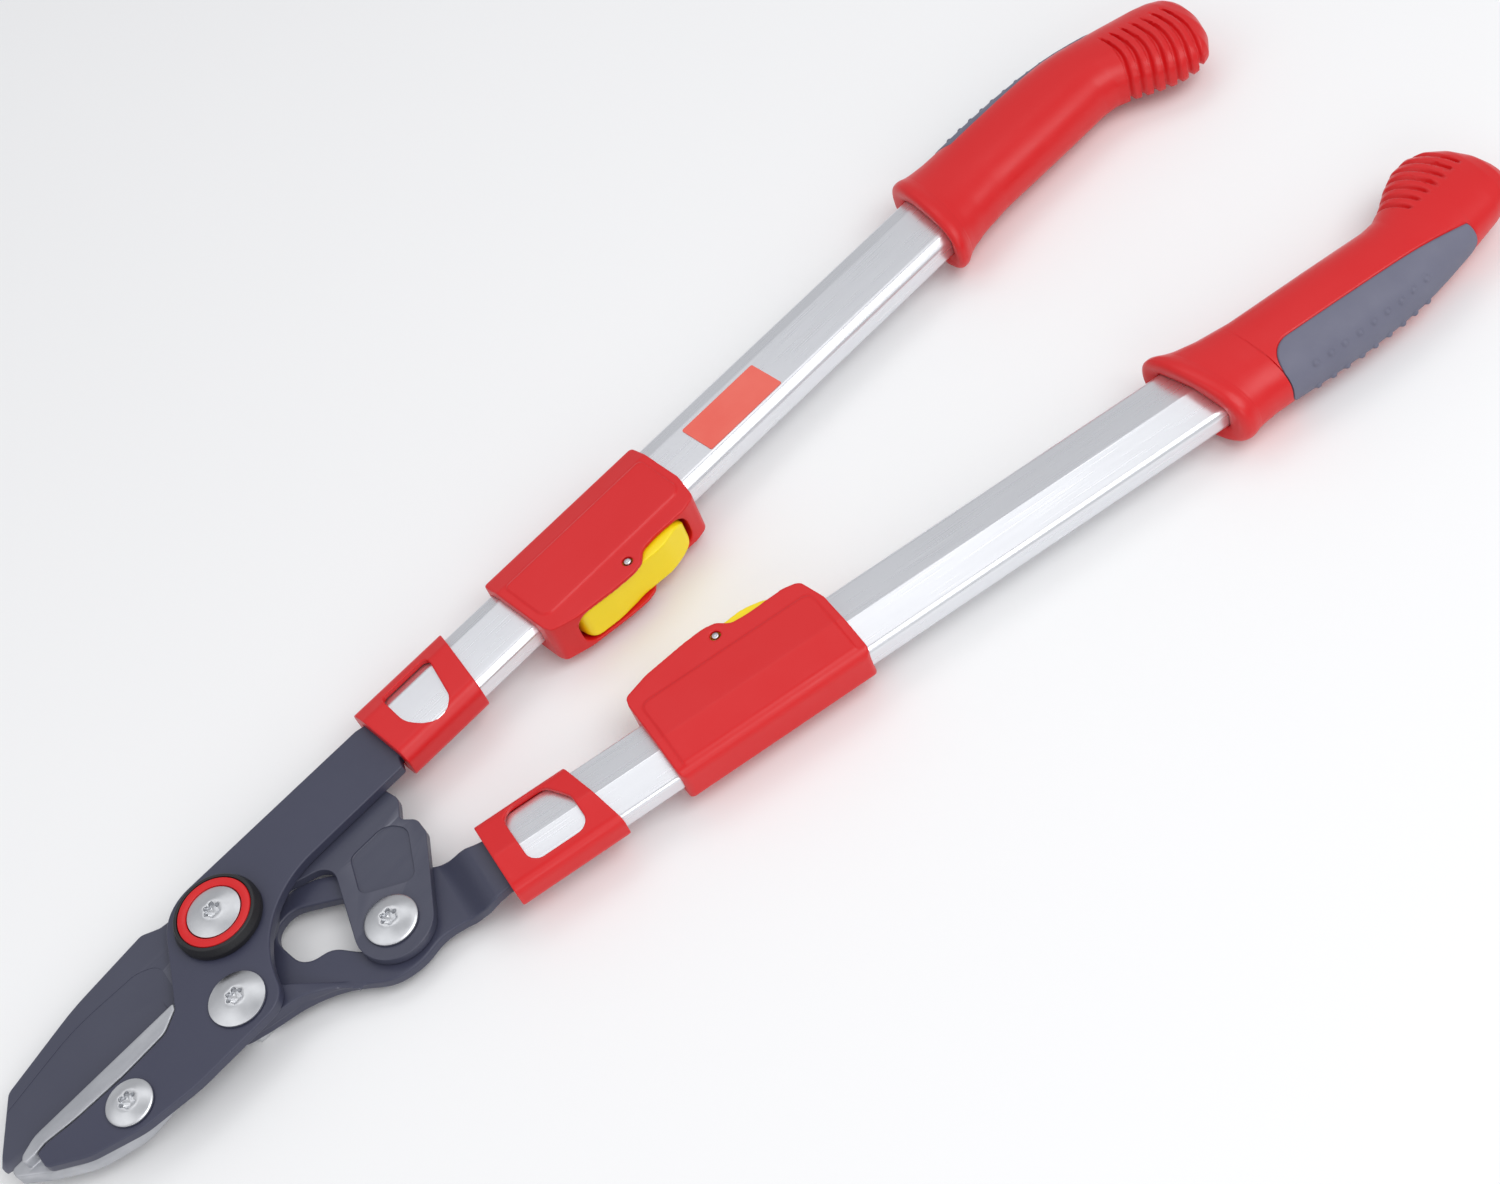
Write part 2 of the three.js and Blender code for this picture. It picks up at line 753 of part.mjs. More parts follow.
function buildHandle(side, group) {
  // The collar and the tube held on the tang.
  let collar = along(grown(tubeSection, 2.6), 0, 60);
  collar = collar.subtract(beyond(COLLAR_LENGTH, COLLAR_SLANT));
  collar = collar.subtract(along(grown(tubeSection, GAP), 2, 70));
  collar = collar.subtract(along(rounded([
    [-TANG_HALF - 0.5, -3.6],
    [TANG_HALF + 0.5, -3.6],
    [TANG_HALF + 0.5, 3.6],
    [-TANG_HALF - 0.5, 3.6],
  ]), -1, 3));
  collar = collar.subtract(plate(rounded([
    [11, 11.6, 3],
    [10, -5, 12],
    [15.5, -14.6, 8],
    [27, -14.6, 8],
    [34.6, 11.6, 3],
  ]), 2.6, 14));
  collar = collar.subtract(plate(rounded([
    [10.5, 11.8, 5],
    [10, -14.6, 6],
    [28, -14.6, 6],
    [34.6, -3, 8],
    [34.6, 11.8, 5],
  ]), -14, -2.6));
  add(group, `${side}_collar`, collar, RED, 0, 0.35);

  let innerTube = hollowTube(tubeSection, INNER_START, INNER_END, TUBE_WALL);
  for (const v of [-6, 6]) {
    innerTube = innerTube.subtract(post(6.5, v, 2.8, -9, 9, 16));
  }
  for (let k = 0; k < 5; k += 1) {
    const hole = across(circlePoints(LOCK_STATION + k * LOCK_PITCH, 0, 2.9, 12), -20, -10);
    innerTube = innerTube.subtract(hole);
  }
  add(group, `${side}_inner_tube`, innerTube, SATIN, 0.85, 0.38);
  for (const [name, v] of [['inner', -6], ['outer', 6]]) {
    add(group, `${side}_tang_rivet_${name}`, post(6.5, v, 2.5, -4.4, 5.5, 16), ZINC, 0.9, 0.35);
  }
  const plug = along(grown(tubeSection, 0), INNER_END + GAP, INNER_END + 6)
    .add(along(grown(tubeSection, -TUBE_WALL - GAP), INNER_END - 12, INNER_END + 1));
  add(group, `${side}_guide_plug`, plug, 0x1d1d20, 0, 0.6);

  // The sleeve that slides over it.
  const outerSection = grown(tubeSection, OUTER_GROW);
  const outerTube = hollowTube(outerSection, OUTER_START, OUTER_END, OUTER_GROW - GAP);
  add(group, `${side}_outer_tube`, outerTube, SATIN, 0.85, 0.38);

  let housing = along(housingSection, HOUSING_START - 2, HOUSING_END + 2);
  housing = housing.intersect(plate(housingPlan, -20, 20));
  housing = housing.subtract(along(grown(tubeSection, GAP), HOUSING_START - 3, OUTER_START));
  housing = housing.subtract(along(grown(outerSection, GAP), OUTER_START - GAP, HOUSING_END + 3));
  housing = housing.subtract(across(rounded([
    [79.6, -SLOT_HALF, 6],
    [139.2, -SLOT_HALF, 6],
    [139.2, SLOT_HALF, 6],
    [79.6, SLOT_HALF, 6],
  ]), -34, -18.4));
  housing = housing.subtract(across(circlePoints(LOCK_STATION, 0, 3.9, 16), -20, -10));
  housing = housing.subtract(post(...BUTTON_PIVOT, 1.9, -14, 14, 14));
  add(group, `${side}_lock_housing`, housing, RED, 0, 0.38);

  let button = plate(buttonPlan, -12, 12).intersect(across(buttonFace, -34, -16));
  button = button.subtract(post(...BUTTON_PIVOT, 1.9, -12, 12, 14));
  button = button.subtract(across(circlePoints(127, 0, 4.2, 16), -26.4, -19));
  add(group, `${side}_lock_button`, button, YELLOW, 0, 0.4);
  add(group, `${side}_button_pin`, post(...BUTTON_PIVOT, 1.6, -9.6, 10.1, 14), ZINC, 0.9, 0.3);
  add(group, `${side}_latch_pin`, across(circlePoints(LOCK_STATION, 0, 2.5, 16), -19.5, -15.3), ZINC, 0.9, 0.3);
  add(group, `${side}_button_spring`, coil(127, -19, 3, 1.5, 2, 0.35), ZINC, 0.9, 0.3);

  const padTool = plate(padPlan, -30, 30).intersect(along(padSection, 300, 440));
  const padSpace = along(grown(padSection, GAP), 300, 440);
  const padRoom = plate(grown(padPlan, GAP), -30, 30).intersect(padSpace);
  const slabs = grooveSlabs().subtract(gripSolid(-GROOVE_DEPTH));
  const tubeRoom = along(grown(outerSection, GAP), 280, OUTER_END + GAP);
  let grip = gripSolid(0).subtract(slabs).subtract(tubeRoom);
  grip = grip.subtract(padRoom.subtract(gripSolid(-1.7)));
  add(group, `${side}_grip`, grip, RED, 0, 0.42);
  const pad = gripSolid(0.3).subtract(gripSolid(-1.7 + GAP)).subtract(tubeRoom).intersect(padTool);
  add(group, `${side}_grip_pad`, pad, GREY, 0, 0.75);
}

const leftHandle = new THREE.Group();
leftHandle.position.set(...LEFT_AXIS, 0);
root.add(leftHandle);
buildHandle('left', leftHandle);

// The right handle is the same set turned over about its own length.
const rightHandle = new THREE.Group();
rightHandle.position.set(...RIGHT_AXIS, 0);
rightHandle.rotation.set(Math.PI, 0, -THREE.MathUtils.degToRad(HANDLE_ANGLE), 'ZYX');
root.add(rightHandle);
buildHandle('right', rightHandle);

// Plain self-adhesive label on the left outer tube's flat face.
const labelLow = 5.7 + OUTER_GROW + 0.05;
add(
  leftHandle,
  'left_label',
  plate(rounded([
    [168, -11.6, 0.6],
    [208, -11.6, 0.6],
    [208, 5.8, 0.6],
    [168, 5.8, 0.6],
  ]), labelLow, labelLow + 0.3),
  0xf0685c,
  0,
  0.5,
);

// Origin: middle of the whole tool's plan, on the surface it lies on.
root.updateMatrixWorld(true);
const box = new THREE.Box3().setFromObject(root, true);
root.position.set(-(box.min.x + box.max.x) / 2, -(box.min.y + box.max.y) / 2, -box.min.z);

export default root;
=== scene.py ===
import json
import math

import bmesh
import bpy
import numpy as np
from mathutils import Matrix, Vector


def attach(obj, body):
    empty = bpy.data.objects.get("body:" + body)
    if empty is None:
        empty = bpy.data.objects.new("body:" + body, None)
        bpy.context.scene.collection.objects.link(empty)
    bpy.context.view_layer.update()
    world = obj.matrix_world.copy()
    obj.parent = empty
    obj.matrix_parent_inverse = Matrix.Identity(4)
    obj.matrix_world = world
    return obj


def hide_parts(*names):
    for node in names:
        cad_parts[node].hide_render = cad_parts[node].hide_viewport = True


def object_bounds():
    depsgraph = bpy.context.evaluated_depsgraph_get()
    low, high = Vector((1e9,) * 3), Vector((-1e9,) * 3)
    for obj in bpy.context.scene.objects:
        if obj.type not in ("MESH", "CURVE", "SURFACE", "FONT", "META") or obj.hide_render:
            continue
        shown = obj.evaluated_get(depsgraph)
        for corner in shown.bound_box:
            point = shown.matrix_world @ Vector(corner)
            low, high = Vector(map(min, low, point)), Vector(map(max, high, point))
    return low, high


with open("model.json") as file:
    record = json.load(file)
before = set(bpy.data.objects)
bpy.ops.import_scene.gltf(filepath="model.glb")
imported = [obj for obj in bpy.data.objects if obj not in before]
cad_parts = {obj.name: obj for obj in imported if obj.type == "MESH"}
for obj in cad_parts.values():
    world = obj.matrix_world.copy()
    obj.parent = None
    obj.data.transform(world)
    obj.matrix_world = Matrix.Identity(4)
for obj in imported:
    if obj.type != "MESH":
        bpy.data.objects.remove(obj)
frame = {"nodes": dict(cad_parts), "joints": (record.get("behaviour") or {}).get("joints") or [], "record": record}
cad_low, cad_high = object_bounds()

# Shapes are drawn in millimetres, in the head's frame (origin on the main pivot) or in a handle's
# frame (u along the handle, v outwards, z up), and are placed by the frame's joints.
MM = 0.001
GAP = 0.3

PIVOT_LEVER = (-15.3, -32.6)
PIVOT_ANVIL = (-64.5, -32.5)
PIVOT_DRIVE = (40.5, -51.4)
BUTTON_PIVOT = (110, -25)
SPRING_STATION = 127

JAW_LOW, JAW_HIGH = -1.3, 3.2
BLADE_LOW, BLADE_HIGH = -5.6, -1.6
CAM_LOW, CAM_HIGH = -10.6, -5.9
TANG_LOW = -2.2
ANVIL_LOW = -8.2
STRIKE_Y = -13.0
BOLT_RADIUS = 5
PIVOT_RADIUS = 6
ROLLER_RADIUS = 8.2
NUT_HEIGHT = 4.4
OPEN_ANGLE = 80
BLADE_RATIO = 0.52

LEFT_AXIS = (86.3, 8.46)
RIGHT_AXIS = (79.1, -68.3)
HANDLE_ANGLE = math.radians(13.68)
TANG_HALF = 11.6
TANG_RIVETS = [(6.5, -6), (6.5, 6)]
RIVET_HOLE = 2.8
BUSHING_ROOM = 2.6

INNER_START, INNER_END = 2.4, 380
OUTER_START, OUTER_END = 98, 396
HOUSING_START, HOUSING_END = 69.5, 150.4
COLLAR_LENGTH, COLLAR_SLANT = 41.5, 0.21
TUBE_WALL, OUTER_GROW = 1.2, 1.4
LOCK_STATION, LOCK_PITCH, LOCK_HOLES = 90, 62.5, 5
SLOT_START, SLOT_END, SLOT_HALF, SLOT_FLOOR = 79.6, 139.2, 8.2, -18.4
SIDES = ("left", "right")
# A corner's radius when the arc is to be the widest that its two edges have room for.
FLOW = -1

CAMERA_LENS, SENSOR_WIDTH = 55.02, 36
CAMERA_PLACE = (-0.23782, -0.47635, 0.66753)
CAMERA_TURN = (37.318, 15.200, -44.861)
# Area lights: name, place and size in metres, power in watts. All of them face the origin.
LIGHTS = [
    ("key", (0.5, -0.9, 1.5), (1.4, 1.0), 13),
    ("fill", (-1.0, 0.3, 1.1), (1.0, 1.0), 2),
    ("front", (-0.6, -1.2, 0.7), (0.9, 0.6), 3),
    ("back", (0.45, 0.9, 1.88), (1.5, 0.8), 4),
]
SKY_COLOR, SKY_STRENGTH = (0.96, 0.97, 1, 1), 0.56

joints = {joint["name"]: joint for joint in frame["joints"]}


# ---- camera ----
def add_camera():
    data = bpy.data.cameras.new("camera")
    data.lens = CAMERA_LENS
    data.sensor_width = SENSOR_WIDTH
    camera = bpy.data.objects.new("camera", data)
    camera.location = CAMERA_PLACE
    camera.rotation_euler = [math.radians(a) for a in CAMERA_TURN]
    bpy.context.scene.collection.objects.link(camera)
    bpy.context.scene.camera = camera


# ---- outlines ----
def rounded(corners, chord=0.03):
    """Corner list (x, y, radius) to outline points, each radius a true arc, FLOW the widest that fits."""
    points = []
    count = len(corners)
    for i, corner in enumerate(corners):
        radius = corner[2] if len(corner) > 2 else 0
        here = Vector(corner[:2])
        if not radius:
            points.append(here)
            continue
        a = (Vector(corners[i - 1][:2]) - here).normalized()
        b = (Vector(corners[(i + 1) % count][:2]) - here).normalized()
        half = a.angle(b) / 2
        if radius == FLOW:
            shorter = min((Vector(corners[k % count][:2]) - here).length for k in (i - 1, i + 1))
            radius = 0.47 * shorter * math.tan(half)
        middle = here + (a + b).normalized() * radius / math.sin(half)
        start = here + a * radius / math.tan(half) - middle
        toward = here - middle
        side = math.copysign(1, start.x * toward.y - start.y * toward.x)
        turn = math.pi - 2 * half
        steps = max(2, math.ceil(turn / (2 * math.acos(1 - chord / radius))))
        for k in range(steps + 1):
            points.append(middle + Matrix.Rotation(side * turn * k / steps, 2) @ start)
    return [p for i, p in enumerate(points) if (p - points[(i + 1) % len(points)]).length > 0.01]


def circle(x, y, radius, count=72):
    angles = [2 * math.pi * k / count for k in range(count)]
    return [Vector((x + radius * math.cos(a), y + radius * math.sin(a))) for a in angles]


def grown(points, distance):
    """Moves every edge of a counter-clockwise outline outwards by one distance."""
    result = []
    for i, point in enumerate(points):
        a = (point - points[i - 1]).normalized()
        b = (points[(i + 1) % len(points)] - point).normalized()
        normal = Vector((a.y + b.y, -a.x - b.x)).normalized()
        result.append(point + normal * distance / (normal.x * a.y - normal.y * a.x))
    return result


def evened(points, spacing, rounds):
    """Evenly spaced outline points, averaged with their neighbours to take off corners."""
    loop = np.array([tuple(p) for p in points] + [tuple(points[0])])
    travelled = np.concatenate([[0], np.cumsum(np.linalg.norm(np.diff(loop, axis=0), axis=1))])
    count = int(travelled[-1] / spacing)
    stations = np.linspace(0, travelled[-1], count, endpoint=False)
    even = np.stack([np.interp(stations, travelled, loop[:, i]) for i in (0, 1)], axis=1)
    for _ in range(rounds):
        even = 0.5 * even + 0.25 * (np.roll(even, 1, axis=0) + np.roll(even, -1, axis=0))
    return [Vector(p) for p in even]


def turned_about(point, centre, degrees):
    centre = Vector(centre)
    return centre + Matrix.Rotation(math.radians(degrees), 2) @ (Vector(point) - centre)


def ribbon(centres, reaches, end_steps=10):
    """Outline that keeps a distance from a line of points, with round ends."""
    left, right = [], []
    last = len(centres) - 1
    for i, centre in enumerate(centres):
        direction = (centres[min(i + 1, last)] - centres[max(i - 1, 0)]).normalized()
        normal = Vector((-direction.y, direction.x)) * reaches[i]
        if i == 0:
            for k in range(1, end_steps):
                left.append(centre + Matrix.Rotation(math.pi * (1 - k / end_steps), 2) @ normal)
        left.append(centre + normal)
        right.append(centre - normal)
        if i == last:
            for k in range(1, end_steps):
                left.append(centre + Matrix.Rotation(-math.pi * k / end_steps, 2) @ normal)
    return (left + right[::-1])[::-1]


# ---- meshes ----
def as_object(name, mesh):
    made = bpy.data.objects.new(name, mesh)
    bpy.context.scene.collection.objects.link(made)
    return made


def weld(mesh, distance):
    """Merges the points that lie together and turns every face outwards."""
    solid = bmesh.new()
    solid.from_mesh(mesh)
    bmesh.ops.remove_doubles(solid, verts=solid.verts, dist=distance)
    bmesh.ops.recalc_face_normals(solid, faces=solid.faces)
    solid.to_mesh(mesh)
    solid.free()


def from_lists(name, points, faces):
    mesh = bpy.data.meshes.new(name)
    mesh.from_pydata([tuple(p) for p in points], [], faces)
    mesh.validate()
    weld(mesh, 1e-4)
    return as_object(name, mesh)


def settle(piece):
    """Applies the modifiers of a piece to its mesh."""
    shown = piece.evaluated_get(bpy.context.evaluated_depsgraph_get())
    mesh = bpy.data.meshes.new_from_object(shown)
    old = piece.data
    piece.modifiers.clear()
    if piece.type != "MESH":
        name = piece.name
        bpy.data.objects.remove(piece)
        piece = as_object(name, mesh)
    else:
        piece.data = mesh
        bpy.data.meshes.remove(old)
    return piece


def combine(base, other, operation):
    cut = base.modifiers.new(operation, "BOOLEAN")
    cut.operation = operation
    cut.solver = "EXACT"
    cut.object = other
    base = settle(base)
    bpy.data.objects.remove(other)
    return base


def minus(base, *others):
    for other in others:
        base = combine(base, other, "DIFFERENCE")
    return base


def plus(base, *others):
    for other in others:
        base = combine(base, other, "UNION")
    return base


def joined(base, other):
    """Two overlapping solids in one mesh, for soften to melt together."""
    both = bmesh.new()
    both.from_mesh(base.data)
    both.from_mesh(other.data)
    both.to_mesh(base.data)
    both.free()
    bpy.data.objects.remove(other)
    return base


def common(base, other):
    return combine(base, other, "INTERSECT")


def bored(base, radius, spots, low, high, plane="plan", count=32):
    """Cuts a round hole at each spot."""
    return minus(base, *[prism(circle(*spot, radius, count), low, high, plane) for spot in spots])


def prism(points, low, high, plane="plan"):
    """Outline run through the third axis: plan (u, v) up, section (v, z) along, side (u, z) across."""
    place = {
        "plan": lambda p, w: (p[0], p[1], w),
        "section": lambda p, w: (w, p[0], p[1]),
        "side": lambda p, w: (p[0], w, p[1]),
    }[plane]
    count = len(points)
    corners = [place(p, low) for p in points] + [place(p, high) for p in points]
    faces = [tuple(range(count)), tuple(range(2 * count - 1, count - 1, -1))]
    for k in range(count):
        after = (k + 1) % count
        faces.append((k, after, after + count, k + count))
    return from_lists("prism", corners, faces)


def plate(outlines, low, high, edge, steps=3):
    """Flat piece with its edges rounded. The first outline is its rim, and the others are holes."""
    curve = bpy.data.curves.new("plate", "CURVE")
    curve.dimensions = "2D"
    curve.fill_mode = "BOTH"
    curve.extrude = (high - low) / 2 - edge
    curve.bevel_depth = edge
    curve.bevel_resolution = steps
    curve.offset = -edge
    for points in outlines:
        spline = curve.splines.new("POLY")
        spline.points.add(len(points) - 1)
        for knot, point in zip(spline.points, points):
            knot.co = (point[0], point[1], 0, 1)
        spline.use_cyclic_u = True
    made = settle(as_object("plate", curve))
    made.data.transform(Matrix.Translation((0, 0, (low + high) / 2)))
    weld(made.data, 1e-3)
    return made


def rim_of(piece):
    """Outline of a piece's highest flat faces, as ordered points."""
    solid = bmesh.new()
    solid.from_mesh(piece.data)
    top = max(v.co.z for v in solid.verts)
    flat = {f for f in solid.faces if all(v.co.z > top - 1e-3 for v in f.verts)}
    following = {}
    for face in flat:
        for loop in face.loops:
            others = [f for f in loop.edge.link_faces if f is not face]
            if not any(f in flat for f in others):
                following[loop.vert.index] = loop.link_loop_next.vert.index
    start = next(iter(following))
    order = [start]
    while following[order[-1]] != start:
        order.append(following[order[-1]])
    solid.verts.ensure_lookup_table()
    points = [Vector(solid.verts[i].co[:2]) for i in order]
    solid.free()
    bpy.data.objects.remove(piece)
    return [p for i, p in enumerate(points) if (p - points[i - 1]).length > 0.02]


def rings_to_mesh(rings, closed=False):
    """Skin through equal rings of points, each end closed by a fan unless the skin closes on itself."""
    count = len(rings[0])
    points = [p for ring in rings for p in ring]
    faces = []
    for i in range(len(rings) if closed else len(rings) - 1):
        a, b = i * count, (i + 1) % len(rings) * count
        for k in range(count):
            after = (k + 1) % count
            faces.append((a + k, a + after, b + after, b + k))
    if not closed:
        for start in (0, (len(rings) - 1) * count):
            middle = sum((Vector(p) for p in points[start:start + count]), Vector()) / count
            points.append(middle)
            faces += [(start + k, start + (k + 1) % count, len(points) - 1) for k in range(count)]
    return from_lists("skin", points, faces)


def lathe(profile, count=96):
    """Turned piece about z: profile (radius, z), from the axis back to the axis or closed on itself."""
    hollow = min(r for r, z in profile) > 0
    rings = []
    for radius, z in profile:
        reach = max(radius, 0.002)
        rings.append([Vector((p.x, p.y, z)) for p in circle(0, 0, reach, count)])
    return rings_to_mesh(rings, closed=hollow)


def soften(piece, voxel, rounds, keep):
    """Melts a sharp solid into a moulded or cast one: even cells, edges rounded, then fewer faces."""
    cells = piece.modifiers.new("cells", "REMESH")
    cells.mode = "VOXEL"
    cells.voxel_size = voxel
    cells.use_smooth_shade = True
    if rounds:
        smooth = piece.modifiers.new("smooth", "SMOOTH")
        smooth.factor = 0.5
        smooth.iterations = rounds
    fewer = piece.modifiers.new("fewer", "DECIMATE")
    fewer.ratio = keep
    return shade(settle(piece), 60, False)


def shade(piece, degrees=32, weighted=True):
    """Smooth shading that keeps flat faces flat and sharp edges sharp."""
    piece.data.shade_smooth()
    piece.data.set_sharp_from_angle(angle=math.radians(degrees))
    if weighted:
        normals = piece.modifiers.new("normals", "WEIGHTED_NORMAL")
        normals.keep_sharp = True
        piece = settle(piece)
    return piece


# ---- materials ----
class Finish:
    """A node material built step by step round one Principled shader."""

    def __init__(self, name, color, roughness, metallic=0.0, drawn=True):
        self.drawn = drawn
        self.material = bpy.data.materials.new(name)
        self.material.use_nodes = True
        self.tree = self.material.node_tree
        self.shader = self.tree.nodes["Principled BSDF"]
        self.shader.inputs["Metallic"].default_value = metallic
        self.shader.inputs["Roughness"].default_value = roughness
        self.shader.inputs["Base Color"].default_value = (*color, 1)
        self.material.diffuse_color = (*color, 1)
        self.roughness = roughness
        self.color = None
        self.height = None
        self.base = color

    def node(self, kind, **inputs):
        made = self.tree.nodes.new(kind)
        for key, value in inputs.items():
            made.inputs[key.replace("_", " ")].default_value = value
        return made

    def link(self, source, target):
        self.tree.links.new(source, target)

    def place(self, stretch=(1, 1, 1)):
        """Where a point is on its own piece: as the piece was drawn, or in its object's space."""
        if self.drawn:
            spot = self.node("ShaderNodeAttribute")
            spot.attribute_name = "drawn_at"
            source = spot.outputs["Vector"]
        else:
            source = self.node("ShaderNodeTexCoord").outputs["Object"]
        mapping = self.node("ShaderNodeMapping")
        mapping.inputs["Scale"].default_value = stretch
        self.link(source, mapping.inputs["Vector"])
        return mapping.outputs["Vector"]

    def noise(self, scale, detail=3.0, stretch=(1, 1, 1)):
        texture = self.node("ShaderNodeTexNoise", Scale=scale, Detail=detail)
        self.link(self.place(stretch), texture.inputs["Vector"])
        return texture.outputs["Fac"]

    def cells(self, scale):
        texture = self.node("ShaderNodeTexVoronoi", Scale=scale)
        self.link(self.place(), texture.inputs["Vector"])
        return texture.outputs["Distance"]

    def range(self, value, low, high, new_low, new_high):
        step = self.node("ShaderNodeMapRange", From_Min=low, From_Max=high, To_Min=new_low, To_Max=new_high)
        self.link(value, step.inputs["Value"])
        return step.outputs["Result"]

    def tint(self, value, color):
        """Mixes another colour in where value is high."""
        mix = self.node("ShaderNodeMix")
        mix.data_type = "RGBA"
        self.link(value, mix.inputs["Factor"])
        if self.color is None:
            mix.inputs[6].default_value = (*self.base, 1)
        else:
            self.link(self.color, mix.inputs[6])
        mix.inputs[7].default_value = (*color, 1)
        self.color = mix.outputs[2]
        self.link(self.color, self.shader.inputs["Base Color"])

    def rough(self, value, low, high):
        self.link(self.range(value, 0.3, 0.7, low, high), self.shader.inputs["Roughness"])

    def bump(self, value, depth, strength=1.0):
        """Raises the surface by depth metres where value is 1."""
        step = self.node("ShaderNodeBump", Strength=strength, Distance=depth)
        self.link(value, step.inputs["Height"])
        if self.height is not None:
            self.link(self.height, step.inputs["Normal"])
        self.height = step.outputs["Normal"]
        self.link(self.height, self.shader.inputs["Normal"])

    def mottle(self, noise, low, high, most, color):
        """Mixes up to a share, most, of another colour in, in patches."""
        self.tint(self.range(noise, low, high, 0, most), color)

    def paler_edges(self, low, high, most, color):
        """Mixes up to a share, most, of another colour in along the outer edges."""
        shape = self.node("ShaderNodeNewGeometry")
        self.mottle(shape.outputs["Pointiness"], low, high, most, color)


def slate_coating():
    finish = Finish("slate_coating", (0.044, 0.047, 0.082), 0.45)
    finish.mottle(finish.noise(28, 4), 0.35, 0.75, 0.55, (0.055, 0.058, 0.096))
    # Lighter slate on the convex edges: a painted highlight for the light line that the rounded plate edges catch.
    finish.paler_edges(0.53, 0.62, 0.5, (0.2, 0.205, 0.25))
    finish.rough(finish.noise(60, 4), 0.36, 0.48)
    finish.bump(finish.noise(900, 2), 0.00004, 0.5)
    finish.bump(finish.noise(2600, 2), 0.00002, 0.5)
    return finish.material


def blade_coating():
    finish = Finish("blade_coating", (0.052, 0.055, 0.087), 0.42)
    finish.mottle(finish.noise(22, 4), 0.35, 0.75, 0.6, (0.065, 0.069, 0.103))
    # Lighter coating on the convex edges: a painted highlight along the blade's rounded edges.
    finish.paler_edges(0.53, 0.6, 0.5, (0.22, 0.225, 0.27))
    finish.rough(finish.noise(40, 4, (1, 6, 1)), 0.32, 0.45)
    finish.bump(finish.noise(500, 3, (0.15, 1, 1)), 0.00003, 0.5)
    return finish.material


def cast_anvil():
    finish = Finish("cast_anvil", (0.42, 0.43, 0.46), 0.42, 0.75)
    finish.mottle(finish.noise(120, 5, (0.3, 1, 1)), 0.35, 0.7, 0.8, (0.6, 0.61, 0.64))
    finish.rough(finish.noise(250, 4), 0.34, 0.55)
    finish.bump(finish.noise(700, 3, (0.4, 1, 1)), 0.00008, 0.7)
    return finish.material


def zinc(name="zinc", drawn=True):
    finish = Finish(name, (0.68, 0.69, 0.71), 0.3, 1.0, drawn)
    finish.shader.inputs["Anisotropic"].default_value = 0.8
    round_about = finish.node("ShaderNodeTangent")
    round_about.direction_type = "RADIAL"
    round_about.axis = "Z"
    finish.link(round_about.outputs["Tangent"], finish.shader.inputs["Tangent"])
    finish.mottle(finish.noise(260, 3), 0.4, 0.7, 0.35, (0.78, 0.79, 0.81))
    finish.rough(finish.noise(400, 3), 0.3, 0.38)
    finish.bump(finish.noise(900, 2), 0.000006, 0.4)
    return finish.material


def bronze():
    finish = Finish("bronze", (0.5, 0.33, 0.15), 0.35, 1.0, False)
    finish.mottle(finish.noise(300, 3), 0.4, 0.7, 0.6, (0.62, 0.45, 0.24))
    finish.bump(finish.noise(1200, 2, (1, 1, 0.2)), 0.00002, 0.5)
    return finish.material


def satin_aluminium():
    finish = Finish("satin_aluminium", (0.8, 0.81, 0.84), 0.3, 0.88)
    finish.mottle(finish.noise(30, 3, (0.3, 1, 1)), 0.35, 0.7, 0.5, (0.86, 0.87, 0.9))
    finish.rough(finish.noise(1400, 3, (0.02, 1, 1)), 0.26, 0.34)
    finish.bump(finish.noise(2400, 2, (0.01, 1, 1)), 0.000012, 0.6)
    return finish.material


def moulded(name, color, pale, roughness, drawn=True):
    """Moulded plastic: a fine spark-eroded grain, flow marks and slightly paler outer edges."""
    finish = Finish(name, color, roughness, 0.0, drawn)
    finish.mottle(finish.noise(35, 4, (0.5, 1, 1)), 0.35, 0.75, 0.35, pale)
    finish.paler_edges(0.52, 0.62, 0.3, pale)
    finish.rough(finish.noise(90, 4), roughness - 0.05, roughness + 0.07)
    finish.bump(finish.noise(1900, 2), 0.00003, 0.5)
    finish.shader.inputs["Specular IOR Level"].default_value = 0.45
    return finish.material


def soft_rubber():
    finish = Finish("grey_rubber", (0.145, 0.147, 0.205), 0.62)
    finish.mottle(finish.noise(40, 4), 0.35, 0.7, 0.6, (0.17, 0.173, 0.235))
    finish.rough(finish.noise(120, 3), 0.55, 0.72)
    finish.bump(finish.noise(2600, 2), 0.00004, 0.7)
    finish.bump(finish.cells(900), 0.00003, 0.4)
    return finish.material


def label_film():
    finish = Finish("label_film", (0.83, 0.125, 0.09), 0.42)
    finish.mottle(finish.noise(60, 3), 0.35, 0.7, 0.4, (0.88, 0.19, 0.14))
    finish.bump(finish.noise(1500, 2), 0.00001, 0.5)
    return finish.material


def floor_paint():
    finish = Finish("floor_paint", (0.93, 0.93, 0.93), 0.7, 0.0, False)
    finish.mottle(finish.noise(3, 2), 0.3, 0.7, 0.4, (0.95, 0.95, 0.95))
    return finish.material


